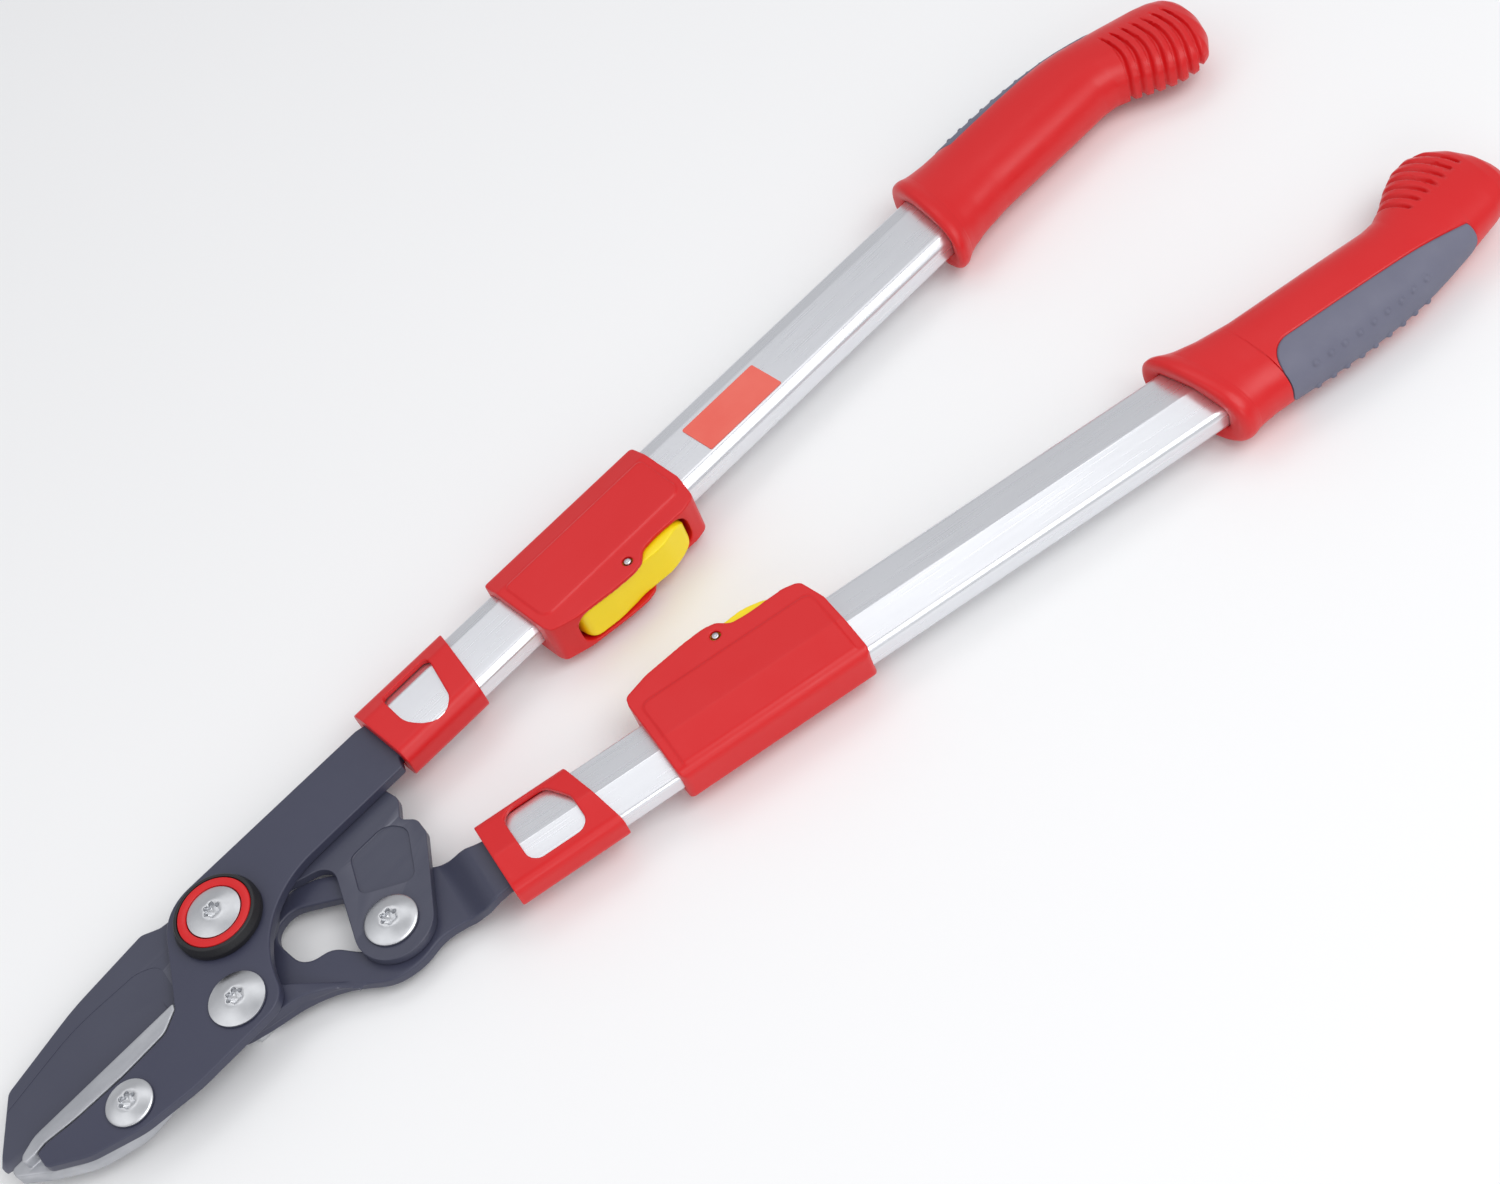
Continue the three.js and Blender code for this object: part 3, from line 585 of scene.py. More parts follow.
# Each finish: its material, and the record's slot that it shows.
FINISHES = {
    "slate": (slate_coating(), "slate_plate"),
    "blade": (blade_coating(), "slate_plate"),
    "anvil": (cast_anvil(), "anvil_metal"),
    "zinc": (zinc(), "zinc"),
    "rivet": (zinc("rivet_zinc", False), "zinc"),
    "bronze": (bronze(), "bronze"),
    "aluminium": (satin_aluminium(), "satin_aluminium"),
    "red": (moulded("red_plastic", (0.66, 0.007, 0.009), (0.7, 0.018, 0.021), 0.36), "red_plastic"),
    "yellow": (moulded("yellow_plastic", (0.95, 0.74, 0.003), (0.96, 0.8, 0.02), 0.34), "yellow_plastic"),
    "cover": (moulded("cover_black", (0.011, 0.011, 0.013), (0.03, 0.03, 0.034), 0.42), "cover_black"),
    "plug": (moulded("plug_black", (0.02, 0.02, 0.022), (0.035, 0.035, 0.04), 0.5, False), "plug_black"),
    "rubber": (soft_rubber(), "grey_rubber"),
    "label": (label_film(), "label"),
}


# ---- placing ----
HEAD = Matrix.Translation(Vector(joints["blade_open"]["pos_m"]))
BODY_OF = {node: body for body, nodes in frame["record"]["behaviour"]["bodies"].items() for node in nodes}


def handle_place(side):
    """Place of a handle's own frame, from its slide and its button's hinge."""
    along = Vector(joints[f"{side}_telescope"]["axis"]).normalized()
    up = Vector(joints[f"{side}_button_press"]["axis"]).normalized()
    turn = Matrix((along, up.cross(along), up)).transposed()
    pivot = Vector(joints[f"{side}_button_press"]["pos_m"])
    offset = turn @ Vector((*BUTTON_PIVOT, 0)) * MM
    return Matrix.Translation(pivot - offset) @ turn.to_4x4()


def coat(piece, finish):
    material, slot = FINISHES[finish]
    piece.data.materials.clear()
    piece.data.materials.append(material)


def finish_piece(piece, node, place, finish):
    """Names the piece, scales it to metres, puts it in the frame and lets it stand for its CAD node."""
    piece.name = f"{node}_fine"
    piece.data.name = piece.name
    piece.data.transform(Matrix.Scale(MM, 4))
    drawn = np.empty(len(piece.data.vertices) * 3, np.float32)
    piece.data.vertices.foreach_get("co", drawn)
    piece.data.attributes.new("drawn_at", "FLOAT_VECTOR", "POINT").data.foreach_set("vector", drawn)
    piece.data.transform(place)
    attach(piece, BODY_OF[node])
    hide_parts(node)
    coat(piece, finish)


def at(x, y, z=0.0):
    """Place of a piece drawn about its own axis, in the head's frame."""
    return HEAD @ Matrix.Translation(Vector((x, y, z)) * MM)


def on_both_handles(piece, part, finish):
    """Puts one piece, drawn in a handle's frame, on both handles."""
    twin = as_object("twin", piece.data.copy())
    for side, made in zip(SIDES, (piece, twin)):
        finish_piece(made, f"{side}_{part}", handle_place(side), finish)


# ---- head ----
def build_jaw_lever():
    tang_low, tang_high = LEFT_AXIS[1] - TANG_HALF, LEFT_AXIS[1] + TANG_HALF
    outline = rounded([
        (116, tang_low, 3), (116, tang_high, 3), (86, tang_high, 2), (82.5, 20.9, 2),
        (-12.1, 21.1, 20), (-32.9, -15.9, 2), (-40.6, -20.6, 8), (-60, -21.4, 60),
        (-82, -20.4, 60), (-93.6, -18.8, 9), (-97.8, -19.6, 1.5), (-98.6, -26.6, 3),
        (-86, -36.2, 20), (-67, -43.6, 30), (-44, -46.6, 60), (-4.1, -46.2, 10.5),
        (9.3, -7.3, 42), (84, -7.3, 1), (86, tang_low, 0.5),
    ])
    holes = [circle(0, 0, PIVOT_RADIUS + GAP)]
    holes += [circle(*spot, BOLT_RADIUS + GAP) for spot in (PIVOT_LEVER, PIVOT_ANVIL)]
    holes += [circle(LEFT_AXIS[0] + u, LEFT_AXIS[1] + v, RIVET_HOLE) for u, v in TANG_RIVETS]
    piece = shade(plate([outline, *holes], JAW_LOW, JAW_HIGH, 0.75))
    finish_piece(piece, "jaw_lever", HEAD, "slate")


def build_anvil():
    base = plate([rounded([
        (-33, STRIKE_Y, 1), (-33, -29, 4), (-57, -40.2, 8), (-69, -41.2, 20), (-86, -35.8, 30),
        (-99, -25.8, 14), (-108.5, -16.8, 2), (-108.2, STRIKE_Y, 2),
    ])], ANVIL_LOW, JAW_LOW - GAP, 0.6)
    lip = plate([rounded([
        (-31.6, STRIKE_Y, 0.6), (-32.6, -15.4, 0.8), (-40.5, -20.1, 8), (-60, -20.9, 60),
        (-82, -19.9, 60), (-93.6, -18.3, 9), (-98.1, -19.1, 1), (-103.6, -18.8, 1.2),
        (-102.2, -15.8, 3), (-95, STRIKE_Y, 12),
    ])], ANVIL_LOW + 1, JAW_HIGH, 0.5)
    piece = bored(plus(base, lip), BOLT_RADIUS + GAP, [PIVOT_ANVIL], -12, 6, count=72)
    finish_piece(soften(piece, 0.26, 4, 0.4), "anvil", HEAD, "anvil")


def build_blade():
    blank = rounded([
        (-110.1, -9, 1), (-92.8, 13.1, 4), (-58, 21.1, 90), (-23.5, 24.3, 4), (-17, 20.6, 4),
        (0, 18), (0, -17), (-26, STRIKE_Y + GAP, 4), (-106, STRIKE_Y + GAP, 1),
        (-110.1, -11.4, 1),
    ])
    arm = rounded([
        (0, 18), (45, 13, 20), (73.6, -3.5, 4), (74.8, -13, 5), (69.4, -20.6, 2.5),
        (73.4, -26, 4), (72.3, -33, 4), (48.7, -67, 15), (17.6, -67, 15), (41.5, -13.4, 7),
        (20, -4.8, 8), (12, -12, 3), (0, -15),
    ])
    whole = plus(prism(blank, 0, 1), prism(circle(0, 0, 19.5, 120), 0, 1), prism(arm, 0, 1))
    holes = [circle(0, 0, PIVOT_RADIUS + BUSHING_ROOM), circle(*PIVOT_DRIVE, BOLT_RADIUS + GAP)]
    piece = plate([rim_of(whole), *holes], BLADE_LOW, BLADE_HIGH, 0.45)
    pocket = rounded([
        (47, -17.4, 4), (64.5, -17.4, 8), (69, -26, 6), (57, -45.6, 4), (39.6, -33, 4),
    ])
    pocket_depth = 0.8
    piece = minus(piece, plate([pocket], BLADE_HIGH - pocket_depth, BLADE_HIGH + 3, 0.6))
    # The blade is ground a little thinner than its hub, up to a curved shoulder.
    ground = rounded([
        (-115, -25), (-32, -25), (-28, -5, 14), (-26, 8, 6), (-34, 12.6, 10),
        (-62, 13.8, 80), (-118, 3),
    ])
    grinding = 0.14
    piece = minus(piece, prism(ground, BLADE_HIGH - grinding, BLADE_HIGH + 3))
    bevel_depth, bevel_width = 1.75, 9
    for face, sign in ((BLADE_HIGH, 1), (BLADE_LOW, -1)):
        wedge = [
            (STRIKE_Y - 1, face + sign), (STRIKE_Y - 1, face - sign * bevel_depth),
            (STRIKE_Y + GAP, face - sign * bevel_depth), (STRIKE_Y + bevel_width, face),
            (STRIKE_Y + bevel_width, face + sign),
        ]
        piece = minus(piece, prism(wedge, -113, -34, "section"))
    finish_piece(shade(piece, 20), "blade", HEAD, "blade")


def on_right(u, p, radius=0.0):
    """Point on the right handle's axis frame: u along the handle, p towards the tool's middle."""
    cos, sin = math.cos(HANDLE_ANGLE), math.sin(HANDLE_ANGLE)
    return (RIGHT_AXIS[0] + u * cos + p * sin, RIGHT_AXIS[1] - u * sin + p * cos, radius)


def cam_window():
    """Window in the cam lever: the roller's path as both levers turn, with room for the open jaws."""
    relief = prism(rounded([
        (8, -13.6, 8), (20.5, -12.9, 8), (36, -25.5, 6), (36, -50, 5), (27, -50, 5),
        (20, -37.6, 8), (8.6, -35.4, 8),
    ]), 0, 1)
    steps = 24
    before, after = 3, 5
    path = []
    for k in range(steps + 1):
        angle = -before + (before + OPEN_ANGLE + after) * k / steps
        roller = turned_about(PIVOT_DRIVE, (0, 0), -angle * BLADE_RATIO)
        path.append(turned_about(roller, PIVOT_LEVER, angle))
    play = 0.45
    reach = [ROLLER_RADIUS + play] * len(path)
    return evened(rim_of(plus(relief, prism(ribbon(path, reach, 24), 0, 1))), 0.5, 14)


def eased(station, start, length):
    """0 before the start and 1 past the length, with a smooth rise between."""
    share = min(1.0, max(0.0, (station - start) / length))
    return share * share * (3 - 2 * share)


def bent(piece, spots, along, lift):
    """Adds edges across a piece at each spot, then raises each of its points by lift(point)."""
    shape = bmesh.new()
    shape.from_mesh(piece.data)
    for spot in spots:
        everything = shape.verts[:] + shape.edges[:] + shape.faces[:]
        bmesh.ops.bisect_plane(shape, geom=everything, plane_co=spot, plane_no=along)
    for vertex in shape.verts:
        vertex.co.z += lift(vertex.co)
    shape.to_mesh(piece.data)
    shape.free()
    return piece


def joggle(piece):
    """Bends the cam plate up into the tang that the right handle holds."""
    along = Vector((math.cos(HANDLE_ANGLE), -math.sin(HANDLE_ANGLE), 0))
    origin = Vector((*RIGHT_AXIS, 0))
    start, length, rise = -18.5, 13, TANG_LOW - CAM_LOW
    spots = [origin + along * (start - 1 + 0.5 * k) for k in range(33)]
    return bent(piece, spots, along, lambda p: rise * eased((p - origin).dot(along), start, length))


def tapered(hub, start, end):
    """Lets the hub's raised face sink into the plate between two stations."""
    face, length, steps = CAM_HIGH - 0.2, end - start, 19
    spots = [Vector((start + length * k / steps, 0, 0)) for k in range(steps + 1)]
    return bent(hub, spots, (1, 0, 0), lambda p: min(0, face - p.z) * eased(p.x, start, length))


def build_cam_lever():
    outline = rounded([
        (-27, -24, 10), (-14, -20, 8), (-2, -23, FLOW), (6.4, -9.6, FLOW), (18, -4.6, FLOW),
        (31, -7.2, FLOW), (45, -19, FLOW), (50.5, -34.5, FLOW), on_right(-19, 21, FLOW),
        on_right(-10, 14.6, FLOW), on_right(-1, TANG_HALF, FLOW), on_right(29.7, TANG_HALF, 3),
        on_right(29.7, -TANG_HALF, 3), on_right(-1, -TANG_HALF, FLOW), on_right(-9, -13.2, FLOW),
        (61, -72.0, FLOW), (49, -68.0, FLOW), (38, -70.2, FLOW), (26, -67.2, FLOW),
        (13.5, -53.6, FLOW), (0, -46.4, FLOW), (-14, -43.2, FLOW), (-27, -38.6, 8),
    ])
    bushing_hole = circle(*PIVOT_LEVER, BOLT_RADIUS + BUSHING_ROOM)
    holes = [cam_window(), bushing_hole]
    holes += [circle(*on_right(*spot)[:2], RIVET_HOLE) for spot in TANG_RIVETS]
    piece = joggle(plate([outline, *holes], CAM_LOW, CAM_HIGH, 0.9, 4))
    hub = plate([rounded([
        (-27.6, -24, 10), (-14, -20, 8), (-3, -26, 8), (-2.2, -36, 4), (7.8, -46.2, 16),
        (20, -58.8, 2), (16.5, -59.6, 2), (11.7, -52.9, 16), (0, -46.6, 20), (-14, -43.5, 20),
        (-27.2, -38.8, 8),
    ]), bushing_hole], CAM_HIGH - 1, JAW_LOW - GAP, 0.7)
    piece = joined(piece, tapered(hub, 0, 19))
    finish_piece(soften(piece, 0.33, 3, 0.3), "cam_lever", HEAD, "slate")


def lobed_ring(radius, lobe, z, count=120):
    points = []
    for k in range(count):
        angle = 2 * math.pi * k / count
        reach = radius + lobe * math.cos(6 * angle)
        points.append(Vector((reach * math.cos(angle), reach * math.sin(angle), z)))
    return points


def build_bolt(node, spot, head_radius, seat, rise, shank_radius, foot, edge=1.0):
    """Domed head with a six-lobed driver socket, on a plain shank."""
    top = seat + rise
    r = head_radius
    # Rings from the shank's foot up to the socket's floor: radius, lobe height, z.
    profile = [
        (0.01, 0, foot), (shank_radius - 0.5, 0, foot), (shank_radius, 0, foot + 0.5),
        (shank_radius, 0, seat), (r - 0.2, 0, seat), (r, 0, seat + 0.2),
        (r, 0, seat + edge - 0.25), (r - 0.12, 0, seat + edge),
    ]
    socket_rim, dome_steps = 4.4, 8
    for k in range(1, dome_steps + 1):
        share = k / dome_steps
        bulge = 0.35 * (1 - (1 - share) ** 2) + 0.65 * share
        profile.append((r - 0.12 + (socket_rim - r) * share, 0, seat + edge + (rise - edge) * bulge))
    profile += [
        (3.6, 0.2, top + 0.01), (3.1, 0.42, top - 0.04), (2.85, 0.46, top - 0.3),
        (2.7, 0.46, top - 2.3), (2.3, 0.3, top - 2.45), (1.2, 0.05, top - 2.9), (0.01, 0, top - 3.0),
    ]
    rings = [lobed_ring(*row) for row in profile]
    finish_piece(shade(rings_to_mesh(rings), 40), node, at(*spot), "zinc")


def build_nut(node, spot, flats, top, bore):
    """Hexagon nut with a round flange, its threads left out."""
    corners = [(*p, 0.5) for p in circle(0, 0, flats / math.sqrt(3), 6)]
    hexagon = plate([rounded(corners), circle(0, 0, bore)], top - NUT_HEIGHT, top - 0.6, 0.5)
    flange = lathe([
        (bore, top), (flats * 0.6, top), (flats * 0.61, top - 0.2), (flats * 0.61, top - 0.6),
        (flats * 0.59, top - 1.0), (flats * 0.54, top - 1.5), (bore, top - 1.5),
    ])
    finish_piece(shade(plus(hexagon, flange), 30), node, at(*spot), "zinc")


def build_roller():
    profile = [
        (BOLT_RADIUS + 0.1, CAM_LOW), (ROLLER_RADIUS - 0.5, CAM_LOW),
        (ROLLER_RADIUS - 0.1, CAM_LOW + 0.15), (ROLLER_RADIUS, CAM_LOW + 0.5),
        (ROLLER_RADIUS, CAM_HIGH - 0.5), (ROLLER_RADIUS - 0.1, CAM_HIGH - 0.15),
        (ROLLER_RADIUS - 0.5, CAM_HIGH), (BOLT_RADIUS + 0.1, CAM_HIGH),
    ]
    finish_piece(shade(lathe(profile), 50), "drive_roller", at(*PIVOT_DRIVE), "zinc")


def build_pivot_cover():
    low, high = JAW_HIGH + GAP, 8.6
    profile = [
        (PIVOT_RADIUS + GAP, low), (16.6, low), (16.9, low + 0.3), (16.9, low + 1.9),
        (16.8, low + 2.3), (16.5, low + 2.9), (15.75, high - 0.5), (15.55, high - 0.15),
        (15.2, high), (14.6, high), (14.4, high - 0.15), (14.4, 6.6), (PIVOT_RADIUS + GAP, 6.6),
    ]
    finish_piece(shade(lathe(profile, 128), 50), "pivot_cover", at(0, 0), "cover")
    ring = [
        (10.7, 6.9), (14.1, 6.9), (14.1, high - 0.4), (13.95, high - 0.1), (13.6, high + 0.1),
        (12.4, high + 0.2), (11.2, high + 0.1), (10.85, high - 0.1), (10.7, high - 0.4),
    ]
    finish_piece(shade(lathe(ring, 128), 60), "pivot_ring", at(0, 0), "red")


# ---- handles ----
TUBE_REACH, TUBE_HALF = 14.9, 5.7
TUBE_SECTION = rounded([
    (TUBE_REACH, -3.4, 1.6), (TUBE_REACH, 3.4, 1.6), (8, TUBE_HALF, 3), (-12.6, TUBE_HALF, 2),
    (-TUBE_REACH, 3.4, 1.6), (-TUBE_REACH, -3.4, 1.6), (1.2, -5.4, 2),
], 0.01)
OUTER_SECTION = grown(TUBE_SECTION, OUTER_GROW)


def tube(section, start, end, wall):
    """Drawn tube with lightly broken ends."""
    inner = grown(section, -wall)
    inset = grown(section, -0.2)

    def ring(points, u):
        return [Vector((u, p.x, p.y)) for p in points]

    rings = [ring(inner, start), ring(inset, start), ring(section, start + 0.2)]
    rings += [ring(section, end - 0.2), ring(inset, end), ring(inner, end)]
    return rings_to_mesh(rings, closed=True)


def build_tubes():
    inner = tube(TUBE_SECTION, INNER_START, INNER_END, TUBE_WALL)
    inner = bored(inner, RIVET_HOLE, TANG_RIVETS, -9, 9)
    stations = [(LOCK_STATION + k * LOCK_PITCH, 0) for k in range(LOCK_HOLES)]
    inner = bored(inner, 2.9, stations, -20, -10, "side")
    on_both_handles(shade(inner, 12), "inner_tube", "aluminium")
    outer = tube(OUTER_SECTION, OUTER_START, OUTER_END, OUTER_GROW - GAP)
    on_both_handles(shade(outer, 12), "outer_tube", "aluminium")


def half_space(station, slant):
    """Everything beyond a plane slanted across the handle: u > station + slant * v."""
    wide, long = 60, 200
    corners = [
        (station - wide * slant, -wide),
        (station + long, -wide),
        (station + long, wide),
        (station + wide * slant, wide),
    ]
    return prism(corners, -wide, wide)


def build_collar():
    piece = prism(grown(TUBE_SECTION, 2.7), 0, 60, "section")
    piece = minus(piece, half_space(COLLAR_LENGTH, COLLAR_SLANT))
    piece = minus(piece, prism(grown(TUBE_SECTION, GAP), 2, 70, "section"))
    reach, half = TANG_HALF + 0.5, 3.6
    tang_slot = [(-reach, -half), (reach, -half), (reach, half), (-reach, half)]
    piece = minus(piece, prism(tang_slot, -1, 3, "section"))
    piece = minus(piece, prism(rounded([
        (11, 11.6, 3), (10, -5, 12), (15.5, -14.6, 8), (27, -14.6, 8), (34.6, 11.6, 3),
    ]), 2.6, 14))
    piece = minus(piece, prism(rounded([
        (10.5, 11.8, 5), (10, -14.6, 6), (28, -14.6, 6), (34.6, -3, 8), (34.6, 11.8, 5),
    ]), -14, -2.6))
    on_both_handles(soften(piece, 0.3, 13, 0.3), "collar", "red")


HOUSING_SECTION = rounded([
    (-33, -9.6), (-17, -9.8, 3), (1.2, -10.2, 3), (18.2, -7.8, 4), (18.2, 7.2, 2.5),
    (7.4, 10.4, 3), (-33, 10),
], 0.02)
HOUSING_PLAN = rounded([
    (HOUSING_START, 18.2, 3), (HOUSING_START, -20), (70.5, -24, 3), (81, -27.6, 12),
    (99, -30.3, 30), (108, -31, 5), (113, -30, 4), (117.5, -25.8, 5), (125, -25.3, 8),
    (140, -26, 8), (146.5, -24.4, 4), (HOUSING_END - 0.5, -12, 8), (HOUSING_END, 18.2, 3),
], 0.02)
# Raised panels: a flat one on side A, and one that follows the roof on side B.
PANEL_A = [
    (HOUSING_START + 3.8, 6.6, 2),
    (HOUSING_START + 3.8, -17.9, 4),
    (HOUSING_END - 4.6, -17.9, 4),
    (HOUSING_END - 3.8, 6.6, 2),
]
PANEL_B = [
    (HOUSING_START + 3.8, 17.2, 1),
    (HOUSING_START + 3.8, -16.8, 3),
    (HOUSING_END - 4.2, -16.8, 3),
    (HOUSING_END - 3.8, 17.2, 1),
]
ROOF_PANEL = [(-33, 0), (-33, -10.1), (-17, -10.3), (1.2, -10.8), (14, -8.9), (17, -7.2), (17, 0)]


def build_housing():
    piece = prism(HOUSING_SECTION, HOUSING_START - 2, HOUSING_END + 2, "section")
    piece = common(piece, prism(HOUSING_PLAN, -20, 20))
    piece = plus(piece, plate([rounded(PANEL_A, 0.02)], 8, 10.9, 0.3))
    roof = common(prism(ROOF_PANEL, 60, 160, "section"), prism(rounded(PANEL_B, 0.02), -20, -6))
    piece = plus(piece, roof)
    piece = minus(piece, prism(grown(TUBE_SECTION, GAP), HOUSING_START - 3, OUTER_START, "section"))
    piece = minus(piece, prism(grown(OUTER_SECTION, GAP), OUTER_START - GAP, HOUSING_END + 3, "section"))
    piece = minus(piece, prism(rounded([
        (SLOT_START, -SLOT_HALF, 6),
        (SLOT_END, -SLOT_HALF, 6),
        (SLOT_END, SLOT_HALF, 6),
        (SLOT_START, SLOT_HALF, 6),
    ]), -34, SLOT_FLOOR, "side"))
    piece = bored(piece, 3.9, [(LOCK_STATION, 0)], -20, -10, "side")
    piece = bored(piece, 2.1, [BUTTON_PIVOT], -14, 14)
    on_both_handles(soften(piece, 0.36, 8, 0.3), "lock_housing", "red")


def build_button():
    plan = rounded([
        (81, -19.8, 2), (108, -19.8, 20), (137.5, -21.8, 2), (137.5, -26.6, 3.5), (124, -30, 20),
        (110, -28.6, 20), (97, -29.2, 30), (82.5, -27.2, 4),
    ], 0.02)
    face = rounded([(80.2, -7.9, 7.6), (138.3, -7.9, 7.6), (138.3, 7.9, 7.6), (80.2, 7.9, 7.6)], 0.02)
    piece = common(prism(plan, -12, 12), prism(face, -34, -16, "side"))
    piece = bored(piece, 1.9, [BUTTON_PIVOT], -12, 12)
    piece = bored(piece, 4.2, [(SPRING_STATION, 0)], -26.4, -19, "side")
    on_both_handles(soften(piece, 0.3, 24, 0.35), "lock_button", "yellow")


def build_small_parts():
    """Button pins and latch pins, one of each on both handles."""
    for side in SIDES:
        place = handle_place(side)
        radius = 1.6
        profile = [
            (0, -9.6), (radius - 0.5, -9.6), (radius, -9.1), (radius, 9.4), (radius - 0.2, 9.8),
            (radius - 0.7, 10.1), (0, 10.15),
        ]
        spot = place @ Matrix.Translation(Vector((*BUTTON_PIVOT, 0)) * MM)
        finish_piece(shade(lathe(profile, 40), 50), f"{side}_button_pin", spot, "zinc")
        latch = [(0, 0), (2.1, 0), (2.5, 0.5), (2.5, 4.0), (2.3, 4.2), (0, 4.2)]
        down = place @ Matrix.Translation(Vector((LOCK_STATION, -15.3, 0)) * MM)
        turn = Matrix.Rotation(math.pi / 2, 4, "X")
        finish_piece(shade(lathe(latch, 40), 50), f"{side}_latch_pin", down @ turn, "zinc")


def build_spring():
    """Closed-end coil under the rocker's rear."""
    turns, per_turn, wire = 2, 32, 0.35
    rings = []
    for k in range(turns * per_turn + 1):
        angle = 2 * math.pi * k / per_turn
        outward = Vector((math.cos(angle), 0, math.sin(angle)))
        centre = Vector((SPRING_STATION, -19 - 1.5 * k / per_turn, 0)) + 3 * outward
        section = circle(0, 0, wire, 12)
        rings.append([centre + outward * p.x + Vector((0, p.y, 0)) for p in section])
    on_both_handles(shade(rings_to_mesh(rings), 60, False), "button_spring", "zinc")


# ---- grips ----
GRIP_START, GRIP_END = 304.5, 457.3
# Grip stations: u, inner edge v, outer edge v, half thickness.
GRIP_STATIONS = np.array([
    (GRIP_START, -22.2, 23.6, 12.8),
    (305.0, -23.4, 24.9, 13.7),
    (306.2, -24.2, 25.8, 14.3),
    (308.2, -24.3, 26.0, 14.4),
    (309.6, -23.8, 25.7, 14.2),
    (311.5, -22.6, 25.0, 13.7),
    (315, -20.9, 24.2, 13.3),
    (323, -18.9, 23.4, 12.9),
    (336, -17.6, 23.2, 12.7),
    (352, -17.8, 23.4, 12.8),
    (370, -18, 23, 12.9),
    (386, -18, 21.6, 12.9),
    (398, -17.9, 19.8, 12.8),
    (405, -19.2, 18.4, 12.6),
    (412, -23.4, 16.8, 12.3),
    (420, -30, 14.8, 11.9),
    (428, -35, 12.6, 11.5),
    (436, -37, 10.2, 10.9),
    (443, -35.6, 8, 10.2),
    (449, -30.5, 5.4, 9.2),
    (453.5, -23, 2.2, 7.6),
    (456.3, -14.5, -2, 5.2),
    (GRIP_END, -10.5, -5, 2.6),
])
# Bands of surface rows (from, to, spacing), closest at the flange and round the butt.
GRIP_ROWS = [(GRIP_START, 312, 0.35), (312, 330, 0.7), (330, 404, 0.5), (404, 457.2, 0.3)]
GRIP_SLANT = 0.22
# Power of the superellipse that is the grip's section.
GRIP_POWER = 0.84
PAD_START, PAD_END = 331.0, 429.0
PAD_PROUD, PAD_DEPTH = 0.3, 1.6
PAD_CELLS, RED_CELLS = 100, 150
GROOVES, GROOVE_DEPTH = 7, 1.9
NUB_PITCH, NUBS_IN_ROW = 6.8, 9


def pad_border(u):
    """Inner border of the soft insert on side B at station u, as v: a line with two round corners."""
    line, drop = 8.4, 3.8
    corner, rise = PAD_START + 13, 15
    radius = 8
    turn = PAD_END - radius
    share = np.clip(corner - u, 0, corner - PAD_START) / (corner - PAD_START)
    front = line + rise * (1 - np.sqrt(np.clip(1 - share ** 2, 0, 1)))
    back = line - drop + radius - np.sqrt(np.clip(radius ** 2 - np.clip(u - turn, 0, radius) ** 2, 0, None))
    middle = line - np.clip((u - 388) / (turn - 388), 0, 1) * drop
    return np.maximum(np.maximum(front, middle), np.where(u > turn, back, -99))


def grip_grid():
    """Stations, ring angles and section sizes of the grip, with grid lines along the insert's border."""
    dense = np.concatenate([np.arange(*band) for band in GRIP_ROWS] + [[GRIP_END]])
    values = [np.interp(dense, GRIP_STATIONS[:, 0], GRIP_STATIONS[:, i]) for i in (1, 2, 3)]
    inner, outer, half = values
    for _ in range(3):
        for row in (inner, outer, half):
            row[1:-1] = 0.5 * row[1:-1] + 0.25 * (row[:-2] + row[2:])
    middle, reach = (inner + outer) / 2, (outer - inner) / 2
    border_a = 16.6
    least = 0.02
    front = np.clip((dense - PAD_START) / 8, 0, 1) ** 0.6
    back = np.clip((PAD_END - dense) / 12, 0, 1) ** 0.6
    kept = 0.7 * np.clip((dense - 380) / 6, 0, 1)
    angle_a = np.arccos(np.clip((border_a - middle) / reach, 0, 1) ** (1 / GRIP_POWER))
    angle_b = np.arccos(np.clip((pad_border(dense) - middle) / reach, 0, 1) ** (1 / GRIP_POWER))
    edge_a = np.maximum(np.maximum(angle_a, kept) * front * back, least)
    edge_b = np.minimum(np.where(dense < PAD_END, -angle_b, 0), -least)
    pad_steps = np.linspace(0, 1, PAD_CELLS + 1)
    red_steps = np.linspace(0, 1, RED_CELLS + 1)[1:-1]
    pad_angles = edge_b[:, None] + (edge_a - edge_b)[:, None] * pad_steps[None]
    share = red_steps[None]
    red_angles = 2 * math.pi * share + edge_a[:, None] * (1 - share) ** 3 + edge_b[:, None] * share ** 3
    angles = np.concatenate([pad_angles, red_angles], axis=1)
    return dense, angles, middle, reach, half


def grip_surface(grid, depth):
    """Grip points, sunk by depth (a number or one per point)."""
    u, angles, middle, reach, half = grid
    c, s = np.cos(angles), np.sin(angles)
    v = middle[:, None] + (reach[:, None] - depth) * np.sign(c) * np.abs(c) ** GRIP_POWER
    z = (half[:, None] - depth) * np.sign(s) * np.abs(s) ** GRIP_POWER
    slant = GRIP_SLANT * np.clip((345 - u) / 29, 0, 1)
    return np.stack([u[:, None] + slant[:, None] * v, v, z], axis=2)


